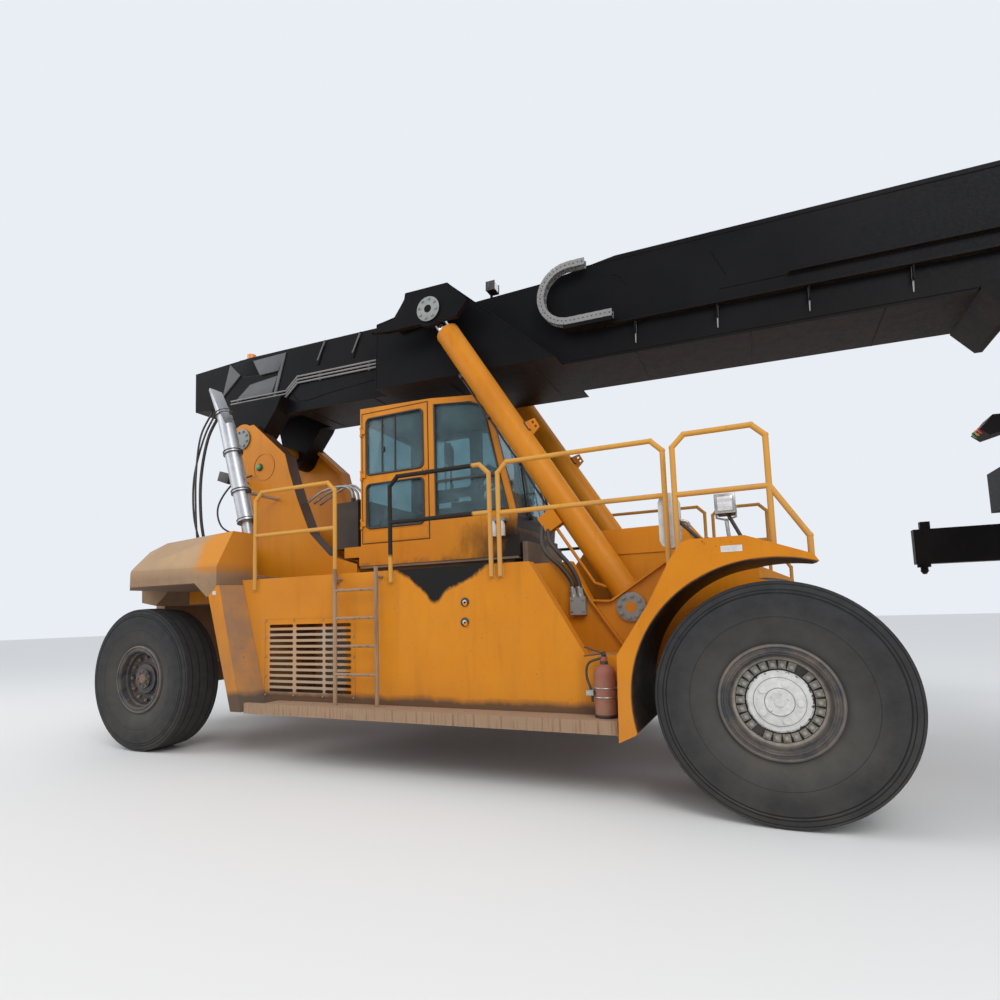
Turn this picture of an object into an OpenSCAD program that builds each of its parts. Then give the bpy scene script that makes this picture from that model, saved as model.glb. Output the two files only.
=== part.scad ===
// Reach stacker: a four-wheel container handler with a telescopic boom and a top-lift spreader.
// Sizes are in millimetres. X points forward, Y to the driver's left, Z up from the ground.
// Stations along X are counted from the drive axle and lateral places from the centre plane.
// Pieces that come in pairs are drawn on the left (+Y) and mirrored for the right (-Y).

/* [Wheels] */
// Distance from the drive axle to the steer axle
wheelbase = 6750; // [6500:10:7000]
// Outer diameter of every tyre
tyre_d = 1650; // [1600:10:1700]
// Section width of every tyre
tyre_w = 500; // [460:10:520]
// Diameter over the rim flanges
rim_d = 780; // [740:10:800]
// Outer face of the outer drive tyre from the centre plane
drive_face_y = 2080; // [2060:5:2120]
// Pitch between the two tyres of a dual wheel
dual_pitch = 600; // [580:5:610]
// Outer face of a steer tyre from the centre plane
steer_face_y = 1890; // [1860:5:1920]
// Kingpin from the centre plane
kingpin_y = 1220; // [1200:5:1240]
// Radial running clearance of the pins and bearings
run_gap = 0.08; // [0.05:0.01:0.1]
// Clearance of the sliding boxes
slide_gap = 0.3; // [0.3:0.1:1]

/* [Chassis] */
// Outer faces of the main chassis plates from the centre plane
rail_y = 680; // [670:5:685]
// Thickness of the main chassis and tower plates
rail_t = 60; // [40:5:70]
// Top of the chassis plates, where the deck lies
rail_top_z = 1900; // [1880:5:1920]
// Front end of the chassis ahead of the drive axle
chassis_front_x = 600; // [550:10:700]
// Top of the side tanks
tank_top_z = 1915; // [1900:5:1930]
// Bottom of the side tanks
tank_low_z = 600; // [580:5:620]
// Outer face of the side tanks from the centre plane
tank_y = 1750; // [1720:5:1780]
// Outer edge of the running step from the centre plane
step_y = 2000; // [1960:5:2040]
// Top of the running step
step_top_z = 640; // [620:5:660]
// Depth of the running step's edge
step_h = 105; // [90:5:120]

/* [Rear] */
// Rear end of the counterweight behind the drive axle
tail_x = -8100; // [-8200:10:-8000]
// Front edge of the rear hood
hood_front_x = -5400; // [-5450:10:-5380]
// Top of the rear hood
hood_top_z = 2480; // [2440:10:2520]
// Outer face of the rear hood from the centre plane
hood_y = 1950; // [1920:5:1980]

/* [Boom] */
// Boom pivot behind the drive axle
pivot_x = -6400; // [-6450:5:-6350]
// Boom pivot above the ground
pivot_z = 3950; // [3930:5:3980]
// Angle by which the lowered boom dips towards its nose
boom_dip = 1.8; // [1.6:0.1:2.0]
// Outer faces of the outer boom from the centre plane
boom_y = 440; // [430:5:450]
// Wall of the outer boom's sides
boom_wall = 25; // [16:1:30]
// Underside of the outer boom above its pivot
boom_low_z = 365; // [360:1:375]
// Top of the front part of the outer boom above its pivot
boom_top_z = 1475; // [1460:5:1490]
// Top of the rear part of the outer boom above its pivot
boom_rear_z = 1280; // [1275:1:1300]
// Front end of the outer boom from its pivot
boom_front_x = 8400; // [8350:10:8430]
// Rear end of the outer boom behind its pivot
boom_tail_x = -1290; // [-1320:10:-1200]
// Height of the inner boom's box
inner_h = 800; // [760:5:810]

/* [Lift cylinders] */
// Cylinder centre from the centre plane
lift_y = 830; // [825:1:840]
// Lower pin behind the drive axle
lift_base_x = -1150; // [-1160:5:-1140]
// Lower pin above the ground
lift_base_z = 1500; // [1490:5:1510]
// Upper pin ahead of the boom pivot, along the boom
lift_head_x = 3118; // [3110:1:3130]
// Upper pin above the boom pivot, square to the boom
lift_head_z = 1049; // [1040:1:1060]
// Outer diameter of the barrel
barrel_d = 270; // [250:5:280]
// Diameter of the rod
rod_d = 170; // [150:5:180]

/* [Cab] */
// Half width of the cab
cab_y = 650; // [630:5:660]
// Rear face of the cab behind the drive axle
cab_rear_x = -4450; // [-4480:5:-4430]
// Cab floor's underside above the ground
cab_low_z = 2330; // [2320:5:2350]
// Cab roof above the ground at its rear
cab_top_z = 4050; // [4030:5:4070]
// Thickness of the cab's walls and door
cab_wall = 50; // [40:5:60]

/* [Spreader] */
// Spreader's turning axis ahead of the drive axle
spread_x = 2980; // [2970:5:3000]
// Swing pin of the spreader head above the ground
swing_z = 3700; // [3680:5:3720]
// Tip of the twistlocks above the ground
lock_tip_z = 1830; // [1825:5:1850]
// Lengthwise distance between the twistlocks with the arms in
lock_pitch_y = 5853; // [5850:1:5856]
// Crosswise distance between the twistlocks
lock_pitch_x = 2259; // [2255:1:2262]

/* [Hidden] */
$fn = 48;

yellow = [0.86, 0.58, 0.10];
dusty = [0.68, 0.50, 0.33];
black = [0.08, 0.08, 0.09];
grey = [0.45, 0.46, 0.47];
rubber = [0.16, 0.16, 0.17];
glass = [0.35, 0.50, 0.60, 0.5];

// The part's origin lies on the ground under the middle of its length.
nose_x = spread_x + lock_pitch_x / 2 + 110;
origin_x = (tail_x + nose_x) / 2;
module placed() {
  translate([-origin_x, 0, 0]) children();
}
module on_side(side) {
  mirror([0, side < 0 ? 1 : 0, 0]) children();
}
// An outline in X and Z, as thick as from y0 to y1
module slab(y0, y1) {
  translate([0, y1, 0]) rotate([90, 0, 0]) linear_extrude(y1 - y0) children();
}
// A round bar across the machine from y0 to y1
module bar_y(r, y0, y1) {
  translate([0, y1, 0]) rotate([90, 0, 0]) cylinder(r = r, h = y1 - y0);
}
// A block given by its two corners
module block(low, high) {
  translate(low) cube(high - low);
}
// A round bar between two points
module rod(a, b, r) {
  v = b - a;
  translate(a) rotate([0, acos(v[2] / norm(v)), atan2(v[1], v[0])]) cylinder(r = r, h = norm(v), $fn = 24);
}

// An outline in X and Z with round corners
module round_rect(x0, z0, x1, z1, r) {
  translate([x0 + r, z0]) square([x1 - x0 - 2 * r, z1 - z0]);
  translate([x0, z0 + r]) square([x1 - x0, z1 - z0 - 2 * r]);
  for (x = [x0 + r, x1 - r]) for (z = [z0 + r, z1 - r]) translate([x, z]) circle(r, $fn = 24);
}
// A ring of bolt heads facing outwards along Y
module bolt_ring(count, ring_r, head_r, y0, y1, turn) {
  for (i = [0 : count - 1]) rotate([0, turn + i * 360 / count, 0]) translate([0, 0, ring_r]) bar_y(head_r, y0, y1);
}

tyre_r = tyre_d / 2;
rim_r = rim_d / 2;
seat_r = rim_r - 60;
bead_w = tyre_w - 110;
drive_y = drive_face_y - tyre_w / 2;
steer_y = steer_face_y - tyre_w / 2;
axle_z = tyre_r;

// Tyre section: radius along X, width along Y
module tyre_section() {
  side_r = 520;
  crown_r = 2400;
  intersection() {
    union() {
      translate([rim_r, -tyre_w / 2]) square([tyre_r - rim_r, tyre_w]);
      translate([seat_r, -bead_w / 2]) square([rim_r - seat_r + 1, bead_w]);
    }
    translate([rim_r + 230, tyre_w / 2 - side_r]) circle(side_r, $fn = 96);
    translate([rim_r + 230, side_r - tyre_w / 2]) circle(side_r, $fn = 96);
    translate([tyre_r - crown_r, 0]) circle(crown_r, $fn = 96);
  }
  // Moulded rings on both sides: radius, place along the axle, half height
  for (ring = [[580, 245, 4], [745, 233, 7], [806, 212, 6]]) for (s = [-1, 1])
    translate([ring[0], s * ring[1]]) circle(ring[2], $fn = 16);
}
// Turned about a wheel's axle: children are drawn with radius along X and the way outwards along Y
module turned() {
  rotate([-90, 0, 0]) rotate_extrude($fn = 72) children();
}
module tyre() {
  turned() tyre_section();
}
// Rim section on a drum of radius drum_r: a sloping seat, two flanges and the rolled edges
module rim_section(drum_r) {
  edge = bead_w / 2 + 20;
  polygon([
    [drum_r, -edge], [drum_r, edge - 70], [drum_r + 18, edge - 62], [seat_r - 8, edge - 4], [seat_r, edge],
    [seat_r, -edge]
  ]);
  for (s = [-1, 1]) {
    translate([seat_r - 5, s > 0 ? bead_w / 2 : -edge]) square([rim_r - seat_r + 5, 20]);
    translate([rim_r - 14, s * edge]) circle(11, $fn = 24);
    translate([seat_r + 12, s * edge]) circle(9, $fn = 24);
  }
}

// Underside of the chassis over the drive axle
frame_low_z = 1101;
spindle_r = 120;
hub_r = 285;
hub_in_y = drive_face_y - tyre_w - dual_pitch + 20;
hub_out_y = drive_y + 110;
module drive_tyres(side) {
  color(rubber) placed() on_side(side) for (y = [drive_y, drive_y - dual_pitch])
    translate([0, y, axle_z]) tyre();
}
disc_r = 209;
module drive_rims(side) {
  clamps = 26;
  color(grey) placed() on_side(side) translate([0, 0, axle_z]) difference() {
    union() {
      for (y = [drive_y, drive_y - dual_pitch]) translate([0, y, 0]) turned() rim_section(hub_r - 5);
      bar_y(hub_r, hub_in_y, hub_out_y);
      // Wedge clamps, left out at two opposite places
      for (i = [0 : clamps - 1]) if (i % (clamps / 2) != 0)
        rotate([0, i * 360 / clamps + 35, 0]) {
          translate([-24, hub_out_y - 1, disc_r + 10]) cube([48, 34, 56]);
          translate([0, 0, disc_r + 36]) bar_y(14, hub_out_y, hub_out_y + 48);
        }
    }
    bar_y(spindle_r + run_gap, hub_in_y - 1, hub_in_y + 320);
  }
}
module drive_hub(side) {
  covers = 5;
  color([0.8, 0.8, 0.78]) placed() on_side(side) translate([0, 0, axle_z]) {
    turned() polygon([
      [0, hub_out_y], [disc_r, hub_out_y], [disc_r, hub_out_y + 46], [disc_r - 12, hub_out_y + 58],
      [165, hub_out_y + 62], [160, hub_out_y + 70], [95, hub_out_y + 76], [90, hub_out_y + 84], [0, hub_out_y + 84]
    ]);
    for (i = [0 : covers - 1]) rotate([0, i * 360 / covers + 20, 0]) translate([0, 0, 128])
      bar_y(24, hub_out_y + 60, hub_out_y + 80);
    bolt_ring(6, 62, 7, hub_out_y + 80, hub_out_y + 90, 10);
    bar_y(30, hub_out_y + 80, hub_out_y + 92);
  }
}
module drive_axle() {
  color(black) placed() translate([0, 0, axle_z]) {
    bar_y(190, -hub_in_y + 60, hub_in_y - 60);
    for (s = [-1, 1]) on_side(s) {
      bar_y(270, hub_in_y - 110, hub_in_y - 10);
      bar_y(spindle_r, hub_in_y - 20, hub_in_y + 310);
    }
    translate([0, 0, -10]) sphere(300, $fn = 40);
    translate([-330, 0, 0]) rotate([0, 90, 0]) cylinder(r1 = 120, r2 = 220, h = 200);
    for (s = [-1, 1])
      block([-210, s * (rail_y - 30) - 60, 120], [210, s * (rail_y - 30) + 60, frame_low_z - axle_z]);
  }
}

steer_hub_r = 170;
steer_pin_r = 55;
yoke_h = 230;
module steer_tyre(side) {
  color(rubber) placed() on_side(side) translate([-wheelbase, steer_y, axle_z]) tyre();
}
module steer_rim(side) {
  bolts = 12;
  color(black) placed() on_side(side) translate([-wheelbase, steer_y, axle_z]) difference() {
    union() {
      turned() rim_section(seat_r - 30);
      turned() polygon([[0, 60], [0, 100], [175, 100], [190, 88], [292, 88], [seat_r - 20, 120], [seat_r - 10, 60]]);
      bar_y(steer_hub_r, -150, 130);
      bar_y(110, 129, 158);
      bolt_ring(bolts, 250, 16, 80, 116, 0);
      bolt_ring(8, 85, 9, 150, 166, 0);
    }
    bar_y(70 + run_gap, -151, 40);
  }
}
module steer_knuckle(side) {
  color(black) placed() on_side(side) translate([-wheelbase, kingpin_y, axle_z]) {
    block([-90, -75, -yoke_h / 2 + 1], [90, 75, yoke_h / 2 - 1]);
    translate([0, 0, -yoke_h / 2 - 70]) cylinder(r = steer_pin_r, h = yoke_h + 140);
    bar_y(100, 70, steer_y - kingpin_y - 160);
    bar_y(70, 80, steer_y - kingpin_y + 30);
    block([-320, 5, -60], [-80, 70, 0]);
  }
}
module steer_axle() {
  beam_y = kingpin_y - 130;
  color(black) placed() translate([-wheelbase, 0, axle_z]) {
    block([-130, -beam_y, -120], [130, beam_y, 120]);
    block([-200, -380, 120], [200, 380, 199]);
    translate([-210, 0, -20]) bar_y(85, -480, 480);
    block([-215, -420, -60], [-100, 420, 20]);
    for (s = [-1, 1]) on_side(s) for (z = [-1, 1]) difference() {
      block([-120, beam_y - 1, z > 0 ? yoke_h / 2 : -yoke_h / 2 - 70],
            [120, kingpin_y + 90, z > 0 ? yoke_h / 2 + 70 : -yoke_h / 2]);
      translate([0, kingpin_y, -yoke_h]) cylinder(r = steer_pin_r + run_gap, h = 2 * yoke_h);
    }
    for (s = [-1, 1]) on_side(s) block([-120, beam_y - 150, -yoke_h / 2 - 70], [120, beam_y, yoke_h / 2 + 70]);
  }
}

// Main chassis plates, their cross members and the cups of the lift cylinders
lug_y0 = 990;
lug_y1 = 1055;
steer_top_z = axle_z + 200;
tow_z = 1100;
tow_r = 28;
rail_end_x = -290;
module rail_outline() {
  difference() {
    polygon([
      [-7380, 1720], [-5750, 1720], [-5400, 900], [-1000, 900], [-650, frame_low_z], [rail_end_x, frame_low_z],
      [rail_end_x, 1790], [-650, 2280], [-1500, 2270], [-1800, rail_top_z],
      [-7380, rail_top_z]
    ]);
    translate([lift_base_x, lift_base_z]) circle(60);
  }
}
notch = [[-1690, 1950], [-1510, 1580], [-1330, 1570], [-780, 1930]];
module lug_outline() {
  polygon(concat(
    [[-2299, 1101], [-2299, 1950]], notch,
    [[-700, 1900], [-760, 1700], [-870, 1330], [-1000, 1000], [-1080, 900], [-1390, 900], [-1590, 1101]]
  ));
}
module lug_flange(a, b) {
  v = b - a;
  translate([a[0], lug_y1 + 45, a[1]]) rotate([0, -atan2(v[1], v[0]), 0])
    block([0, -105, -18], [norm(v), 0, 0]);
}
module chassis_frame() {
  color(yellow) placed() {
    for (s = [-1, 1]) on_side(s) {
      slab(rail_y - rail_t, rail_y) rail_outline();
      slab(lug_y0, lug_y1) lug_outline();
      for (i = [0 : 2]) lug_flange(notch[i], notch[i + 1]);
      lug_flange(notch[1], [-1200, 1130]);
      block([-1120, rail_y - 1, 900], [-1060, lug_y0 + 1, 1240]);
      translate([lift_base_x, 0, lift_base_z]) {
        bar_y(60, rail_y - rail_t, lug_y1 + 20);
        bar_y(130, lug_y1 - 1, lug_y1 + 22);
        bolt_ring(8, 100, 15, lug_y1 + 20, lug_y1 + 38, 10);
        bar_y(52, lug_y1 + 20, lug_y1 + 27);
      }
      // Ledge under the front frame's upper panel
      block([-1340, rail_y - 1, 2020], [-830, rail_y + 12, 2045]);
    }
    for (x = [-5300, -3200, -1750]) block([x - 60, -rail_y + 10, 920], [x + 60, rail_y - 10, 1250]);
    block([-900, -rail_y + 10, 1150], [-780, rail_y - 10, 1700]);
    slab(-rail_y + 10, rail_y - 10)
      polygon([[-1480, 2240], [-660, 2250], [-310, 1775], [-330, 1760], [-680, 2225], [-1480, 2215]]);
    // Saddle over the steer axle
    block([-wheelbase - 230, -380, steer_top_z - 1], [-wheelbase + 230, 380, 1730]);
    for (x = [-wheelbase - 230, -wheelbase + 170]) block([x, -rail_y + 10, 1721], [x + 60, rail_y - 10, 1890]);
  }
}

// Front ends of the side plates, over the drive axle, with the plate that closes them
module front_frame() {
  color(yellow) placed() {
    for (s = [-1, 1]) on_side(s) slab(rail_y - rail_t, rail_y) polygon([
      [rail_end_x, frame_low_z], [chassis_front_x, frame_low_z], [chassis_front_x, 1500], [rail_end_x, 1790]
    ]);
    block([chassis_front_x - 60, -rail_y + 10, 1101], [chassis_front_x - 1, rail_y - 10, 1499]);
  }
}

// Tower plates that carry the boom pivot
pin_r = 90;
tower_front = [[-5640, 3640], [-5570, 3400], [-5430, 3020], [-5220, 2550], [-4910, 2250], [-4490, 2115]];
module tower_outline() {
  polygon(concat(
    [[-6330, rail_top_z], [-6330, 2300], [pivot_x - 205, 3840], [pivot_x + 130, pivot_z + 180], [-6200, 4130]],
    tower_front, [[-4490, rail_top_z]]
  ));
  translate([pivot_x, pivot_z]) circle(215);
}
// The front edge's flange reaches in towards the boom
module tower_band() {
  polygon(concat(
    [[-6060, 4008]], tower_front,
    [[-4490, 2065], [-4930, 2203], [-5258, 2515], [-5476, 3000], [-5617, 3385], [-5683, 3612], [-6095, 3970]]
  ));
}
module boom_tower() {
  color(yellow) placed() {
    for (s = [-1, 1]) on_side(s) {
      slab(rail_y - rail_t, rail_y) tower_outline();
      slab(rail_y - 200, rail_y - rail_t + 1) tower_band();
      translate([pivot_x, 0, pivot_z]) {
        bar_y(140, rail_y - 1, rail_y + 20);
        bolt_ring(8, 108, 14, rail_y + 18, rail_y + 36, 20);
      }
      // Raised ring of the lower boss
      translate([-6010, 0, 3520]) difference() {
        bar_y(190, rail_y - 1, rail_y + 6);
        bar_y(172, rail_y - 2, rail_y + 7);
      }
    }
    translate([pivot_x, 0, pivot_z]) bar_y(pin_r, -rail_y, rail_y);
    block([-6310, -rail_y + rail_t - 1, 1950], [-6260, rail_y - rail_t + 1, 2850]);
    block([-5760, -rail_y + rail_t - 1, 1950], [-5710, rail_y - rail_t + 1, 2500]);
  }
}

// Rear hood: wings over the steer wheels, open around the tower and the exhaust, with the counterweight behind
pipe_y = 1250;
pipe_foot_z = 1990;
hood_low_z = rail_top_z;
// Sections: place along X, half width, underside, crease, half width on top, top
hood_sections = [
  [hood_front_x - 1, hood_y, hood_low_z, 2070, hood_y - 220, hood_top_z],
  [tail_x + 1290, hood_y, hood_low_z, 2090, hood_y - 470, hood_top_z - 10],
  [tail_x + 650, 1520, hood_low_z, 2110, 1250, hood_top_z - 60],
  [tail_x + 250, 1200, hood_low_z + 60, 2230, 1000, hood_top_z - 160],
  [tail_x, 700, hood_low_z + 140, 2200, 600, hood_top_z - 230]
];
hood_lip = [[-5740, hood_low_z], [-5540, 1738], [hood_front_x, 1852], [hood_front_x, hood_low_z + 1]];
module rear_hood() {
  color(dusty) placed() {
    difference() {
      hull() for (h = hood_sections) translate([h[0], 0, 0]) rotate([90, 0, 90]) linear_extrude(1)
        polygon([[h[1], h[2]], [h[1], h[3]], [h[4], h[5]], [-h[4], h[5]], [-h[1], h[3]], [-h[1], h[2]]]);
      block([-6420, -rail_y - 30, hood_low_z - 1], [hood_front_x + 1, rail_y + 30, hood_top_z + 1]);
      for (s = [-1, 1]) on_side(s)
        block([-6250, rail_y + 29, pipe_foot_z], [hood_front_x + 1, pipe_y + 190, hood_top_z + 1]);
    }
    for (s = [-1, 1]) on_side(s) slab(pipe_y + 190, hood_y) polygon(hood_lip);
    // Belly behind the steer wheels and the low weight with the towing jaw
    slab(-1000, 1000) polygon([
      [tail_x + 150, 2050], [tail_x + 165, 1760], [tail_x + 450, 1710], [tail_x + 700, hood_low_z + 1], [tail_x + 700, 2050]
    ]);
    difference() {
      union() {
        difference() {
          slab(-700, 700) polygon([
            [tail_x + 60, 2050], [tail_x + 60, 840], [tail_x + 120, 780], [tail_x + 240, 780], [tail_x + 240, 2050]
          ]);
          block([tail_x + 59, -150, 779], [tail_x + 170, 150, tow_z + 200]);
        }
        for (z = [tow_z - 100, tow_z + 60]) block([tail_x + 60, -60, z], [tail_x + 171, 60, z + 40]);
      }
      translate([tail_x + 110, 0, tow_z - 150]) cylinder(r = tow_r, h = 300);
    }
  }
}
module engine_block() {
  color(grey) placed() block([-5300, -430, 1250], [-3200, 430, 1850]);
}

// Side tanks with the grille, the soot-edged hollow and the slanting rear pillar
grille_x = -4830;
grille_z = 700;
slot_rows = 12;
slot_pitch = 60;
module grille_slots() {
  for (row = [0 : slot_rows - 1]) for (column = [[20, 290], [380, 320], [760, 290]])
    translate([grille_x + column[0], grille_z + 28 + row * slot_pitch]) {
      square([column[1], 34]);
      for (x = [0, column[1]]) translate([x, 17]) circle(17, $fn = 16);
    }
}
// A groove around the grille's bolted panel
module grille_frame() {
  difference() {
    round_rect(grille_x - 60, grille_z - 20, grille_x + 1120, grille_z + 780, 30);
    round_rect(grille_x - 54, grille_z - 14, grille_x + 1114, grille_z + 774, 26);
  }
}
module tank_outline() {
  polygon([
    [-5230, tank_top_z], [-1870, tank_top_z], [-1400, 1110], [-1090, 1110], [-1090, tank_low_z], [-4860, tank_low_z]
  ]);
}
module tank(side) {
  color(yellow) placed() on_side(side) {
    difference() {
      slab(rail_y, tank_y) tank_outline();
      block([grille_x - 40, rail_y + 300, grille_z], [grille_x + 1110, tank_y - 8, grille_z + 760]);
      slab(tank_y - 20, tank_y + 1) grille_slots();
      slab(tank_y - 3, tank_y + 1) grille_frame();
      block([-1600, rail_y - 1, 880], [-1080, lug_y1 + 1, 1120]);
      block([-2300, rail_y - 1, 1100], [-1080, tank_y - 120, 2000]);
    }
    // Round locks of the side cover, and the grille's bolts
    for (z = [1390, 1570]) translate([-2490, 0, z]) {
      bar_y(34, tank_y - 1, tank_y + 5);
      bar_y(20, tank_y - 1, tank_y + 12);
    }
    for (x = [-45, 340, 720, 1100]) for (z = [-5, 765]) translate([grille_x + x, 0, grille_z + z])
      bar_y(8, tank_y - 1, tank_y + 6);
    for (x = [-45, 1100]) for (z = [190, 390, 590]) translate([grille_x + x, 0, grille_z + z])
      bar_y(8, tank_y - 1, tank_y + 6);
    // Slanting pillar: place along X, height, width outside and width at the tank's face
    difference() {
      hull() for (p = [[-5548, 1860, 190, 330], [-5165, 535, 145, 320]]) translate([p[0], tank_y - 300, p[1]])
        linear_extrude(1) polygon([[0, 0], [0, 500], [p[2], 500], [p[3], 300], [p[3], 0]]);
      slab(tank_y - 301, tank_y + 201)
        polygon([
          [-5800, 1862], [-5740, 1862], [-5540, 1737.6], [hood_front_x + 2, 1852], [hood_front_x + 2, 1862]
        ]);
    }
  }
}
module step(side) {
  ladder_x = [-3880, -3390];
  color(dusty) placed() on_side(side) {
    block([-4690, tank_y, step_top_z - step_h], [-1110, step_y, step_top_z]);
    block([-4920, tank_y + 202, step_top_z - step_h], [-4689, step_y, step_top_z]);
    for (x = ladder_x) {
      rod([x, tank_y + 100, step_top_z - 1], [x, tank_y + 100, tank_top_z + 40], 20);
      rod([x, tank_y + 1, tank_top_z - 60], [x, tank_y + 100, tank_top_z - 60], 16);
    }
    for (z = [930, 1200, 1470, 1740])
      rod([ladder_x[0], tank_y + 100, z], [ladder_x[1], tank_y + 100, z], 14);
  }
}
module deck() {
  color(grey) placed() {
    block([-4460, -rail_y, rail_top_z], [-1810, rail_y, rail_top_z + 15]);
    block([-4400, -cab_y + 130, rail_top_z + 14], [-2500, cab_y - 130, 2061]);
    block([-4470, -cab_y + 10, 2060], [cab_front_x, cab_y - 10, 2090]);
    block([-2370, -cab_y + 60, rail_top_z + 14], [-2310, cab_y - 60, 2240]);
  }
}

// Front fender over the dual drive wheels
sweep_r = 3215;
// Where the cut touches the spreader's sweep
cut_y = 1400;
cut_dx = sqrt(pow(sweep_r + 12, 2) - cut_y * cut_y);
// Its outline about the wheel's centre, for a tyre of 825 mm radius
module fender_outer() {
  translate([0, axle_z]) scale(tyre_r / 825) polygon([
    [-1085, -325], [-1070, 315], [-830, 675], [-650, 1005], [-560, 1125], [-500, 1140], [-140, 1140],
    [270, 985], [300, 935], [170, 910], [-130, 775], [-960, -265]
  ]);
}
module front_fender(side) {
  color(yellow) placed() on_side(side) difference() {
    slab(lug_y1, drive_face_y + 10) difference() {
      fender_outer();
      translate([0, axle_z]) circle(tyre_r * 970 / 825, $fn = 96);
    }
    // The inner front corner is cut off straight where the turning spreader passes
    linear_extrude(3000) polygon(concat(
      [for (y = [lug_y1 - 10, 2000]) [spread_x - cut_dx + (y - cut_y) * cut_y / cut_dx, y]],
      [[900, 2000], [900, lug_y1 - 10]]
    ));
  }
}

rail_bar = 21;
// Rail loops: start, first corner, second corner, end, each as X and Z
module hoop(y, x0, x1, foot0_z, foot1_z, mid_z, top_z) {
  bend = 90;
  rod([x0, y, foot0_z], [x0, y, top_z - bend], rail_bar);
  rod([x1, y, foot1_z], [x1, y, top_z - bend], rail_bar);
  rod([x0, y, top_z - bend], [x0 + bend, y, top_z], rail_bar);
  rod([x0 + bend, y, top_z], [x1 - bend, y, top_z], rail_bar);
  rod([x1 - bend, y, top_z], [x1, y, top_z - bend], rail_bar);
  rod([x0, y, mid_z], [x1, y, mid_z], rail_bar);
  for (p = [[x0, top_z - bend], [x1, top_z - bend], [x0 + bend, top_z], [x1 - bend, top_z]])
    translate([p[0], y, p[1]]) sphere(rail_bar + 2, $fn = 24);
}
module handrails(side) {
  y = tank_y + rail_bar + 1;
  fender_y = drive_face_y - 180;
  color(dusty) placed() on_side(side) difference() {
    union() {
      hoop(y, -5022, -3940, 1800, 1800, 2385, 2860);
      hoop(y, -3275, -2215, 1800, 1800, 2375, 2820);
      hoop(y, -2130, -700, 1800, 1700, 2360, 2810);
      for (x = [-5022, -3940, -3275, -2215, -2130])
        block([x - 30, tank_y, 1790], [x + 30, tank_y + 6, 1900]);
      hoop(fender_y, -610, 40, 1850, 1850, 2330, 2790);
      rod([40, fender_y, 2330], [270, fender_y, 1950], rail_bar);
      rod([270, fender_y, 1960], [270, fender_y, 1780], rail_bar);
      translate([270, fender_y, 1952]) sphere(rail_bar + 2, $fn = 24);
    }
    slab(lug_y1, drive_face_y + 10) fender_outer();
  }
}

// Valve boxes on the raised base, behind the cab
module valve_block() {
  base_z = cab_low_z + 1;
  color(black) placed() {
    block([-4930, -560, base_z], [-4560, -130, 2920]);
    block([-4900, 60, base_z], [-4560, 520, 2740]);
    for (y = [-470, -350, -230]) rod([-4700, y, 2915], [-4700, y, 2985], 26);
    for (z = [2480, 2620, 2760]) rod([-4925, -340, z], [-4985, -340, z], 24);
  }
}

// Places along X are counted from the hood's front edge
module exhaust_stack() {
  y = -pipe_y - 50;
  color([0.75, 0.76, 0.78]) placed() translate([hood_front_x, 0, 0]) difference() {
    union() {
      translate([-100, y, pipe_foot_z - 40]) rotate([0, -12, 0]) cylinder(r1 = 32, r2 = 60, h = 720);
      rod([-252, y, 2670], [-655, y, 4090], 98);
      rod([-645, y, 4055], [-800, y, 4420], 94);
      // Clamps: place along the pipe, radius
      for (c = [[-252, 2672, 110], [-357, 3040, 106], [-500, 3545, 106], [-648, 4066, 108]])
        rod([c[0] + 6, y, c[1] - 20], [c[0] - 6, y, c[1] + 22], c[2]);
      block([-200, y - 80, pipe_foot_z], [-50, y + 80, pipe_foot_z + 12]);
      rod([-360, y + 60, 3050], [-360, -rail_y, 3050], 22);
    }
    block([-500, y - 130, 1800], [100, y + 130, pipe_foot_z]);
    translate([-830, y - 200, 4440]) rotate([0, 62, 0]) cube([600, 400, 400]);
  }
}

// Cab: a hollow shell with its windows and doorway cut
cab_front_x = -2400;
cab_side = [
  [cab_rear_x, cab_low_z], [cab_front_x - 20, cab_low_z], [cab_front_x, 2520], [-2700, 3830], [-2900, 3950],
  [-3450, 4010], [cab_rear_x, cab_top_z]
];
door_x0 = cab_rear_x + 20;
door_x1 = -3480;
door_z0 = cab_low_z + 20;
door_z1 = 3985;
split_x = -3440;
split_z = 2560;
// Two windows in the door and in the panel opposite: low edge, top edge
pane_x = [door_x0 + 70, door_x1 - 75];
pane_z = [[2540, 3080], [3200, 3905]];
module panes() {
  for (z = pane_z) round_rect(pane_x[0], z[0], pane_x[1], z[1], 55);
}
module cab_void() {
  w = cab_wall;
  polygon([
    [cab_rear_x + w, cab_low_z + w], [cab_front_x - w - 20, cab_low_z + w], [cab_front_x - w, 2520],
    [-2700 - w, 3830 - w], [-2900 - w, 3950 - w], [-3450, 4010 - w], [cab_rear_x + w, cab_top_z - w]
  ]);
}
module side_window() {
  polygon([[split_x + 45, split_z + 50], [-2500, split_z + 50], [-2770, 3800], [-2930, 3870], [split_x + 45, 3925]]);
}
hinge_x = door_x0 + 3;
hinge_y = cab_y + 16;
hinge_z = [2600, 3200, 3750];
module hinge_leaf(x0, x1, z0, z1) {
  translate([hinge_x, -hinge_y, z0]) cylinder(r = 14, h = z1 - z0);
  block([x0, -hinge_y - 5, z0], [x1, -cab_y + 1, z1]);
}
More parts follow.
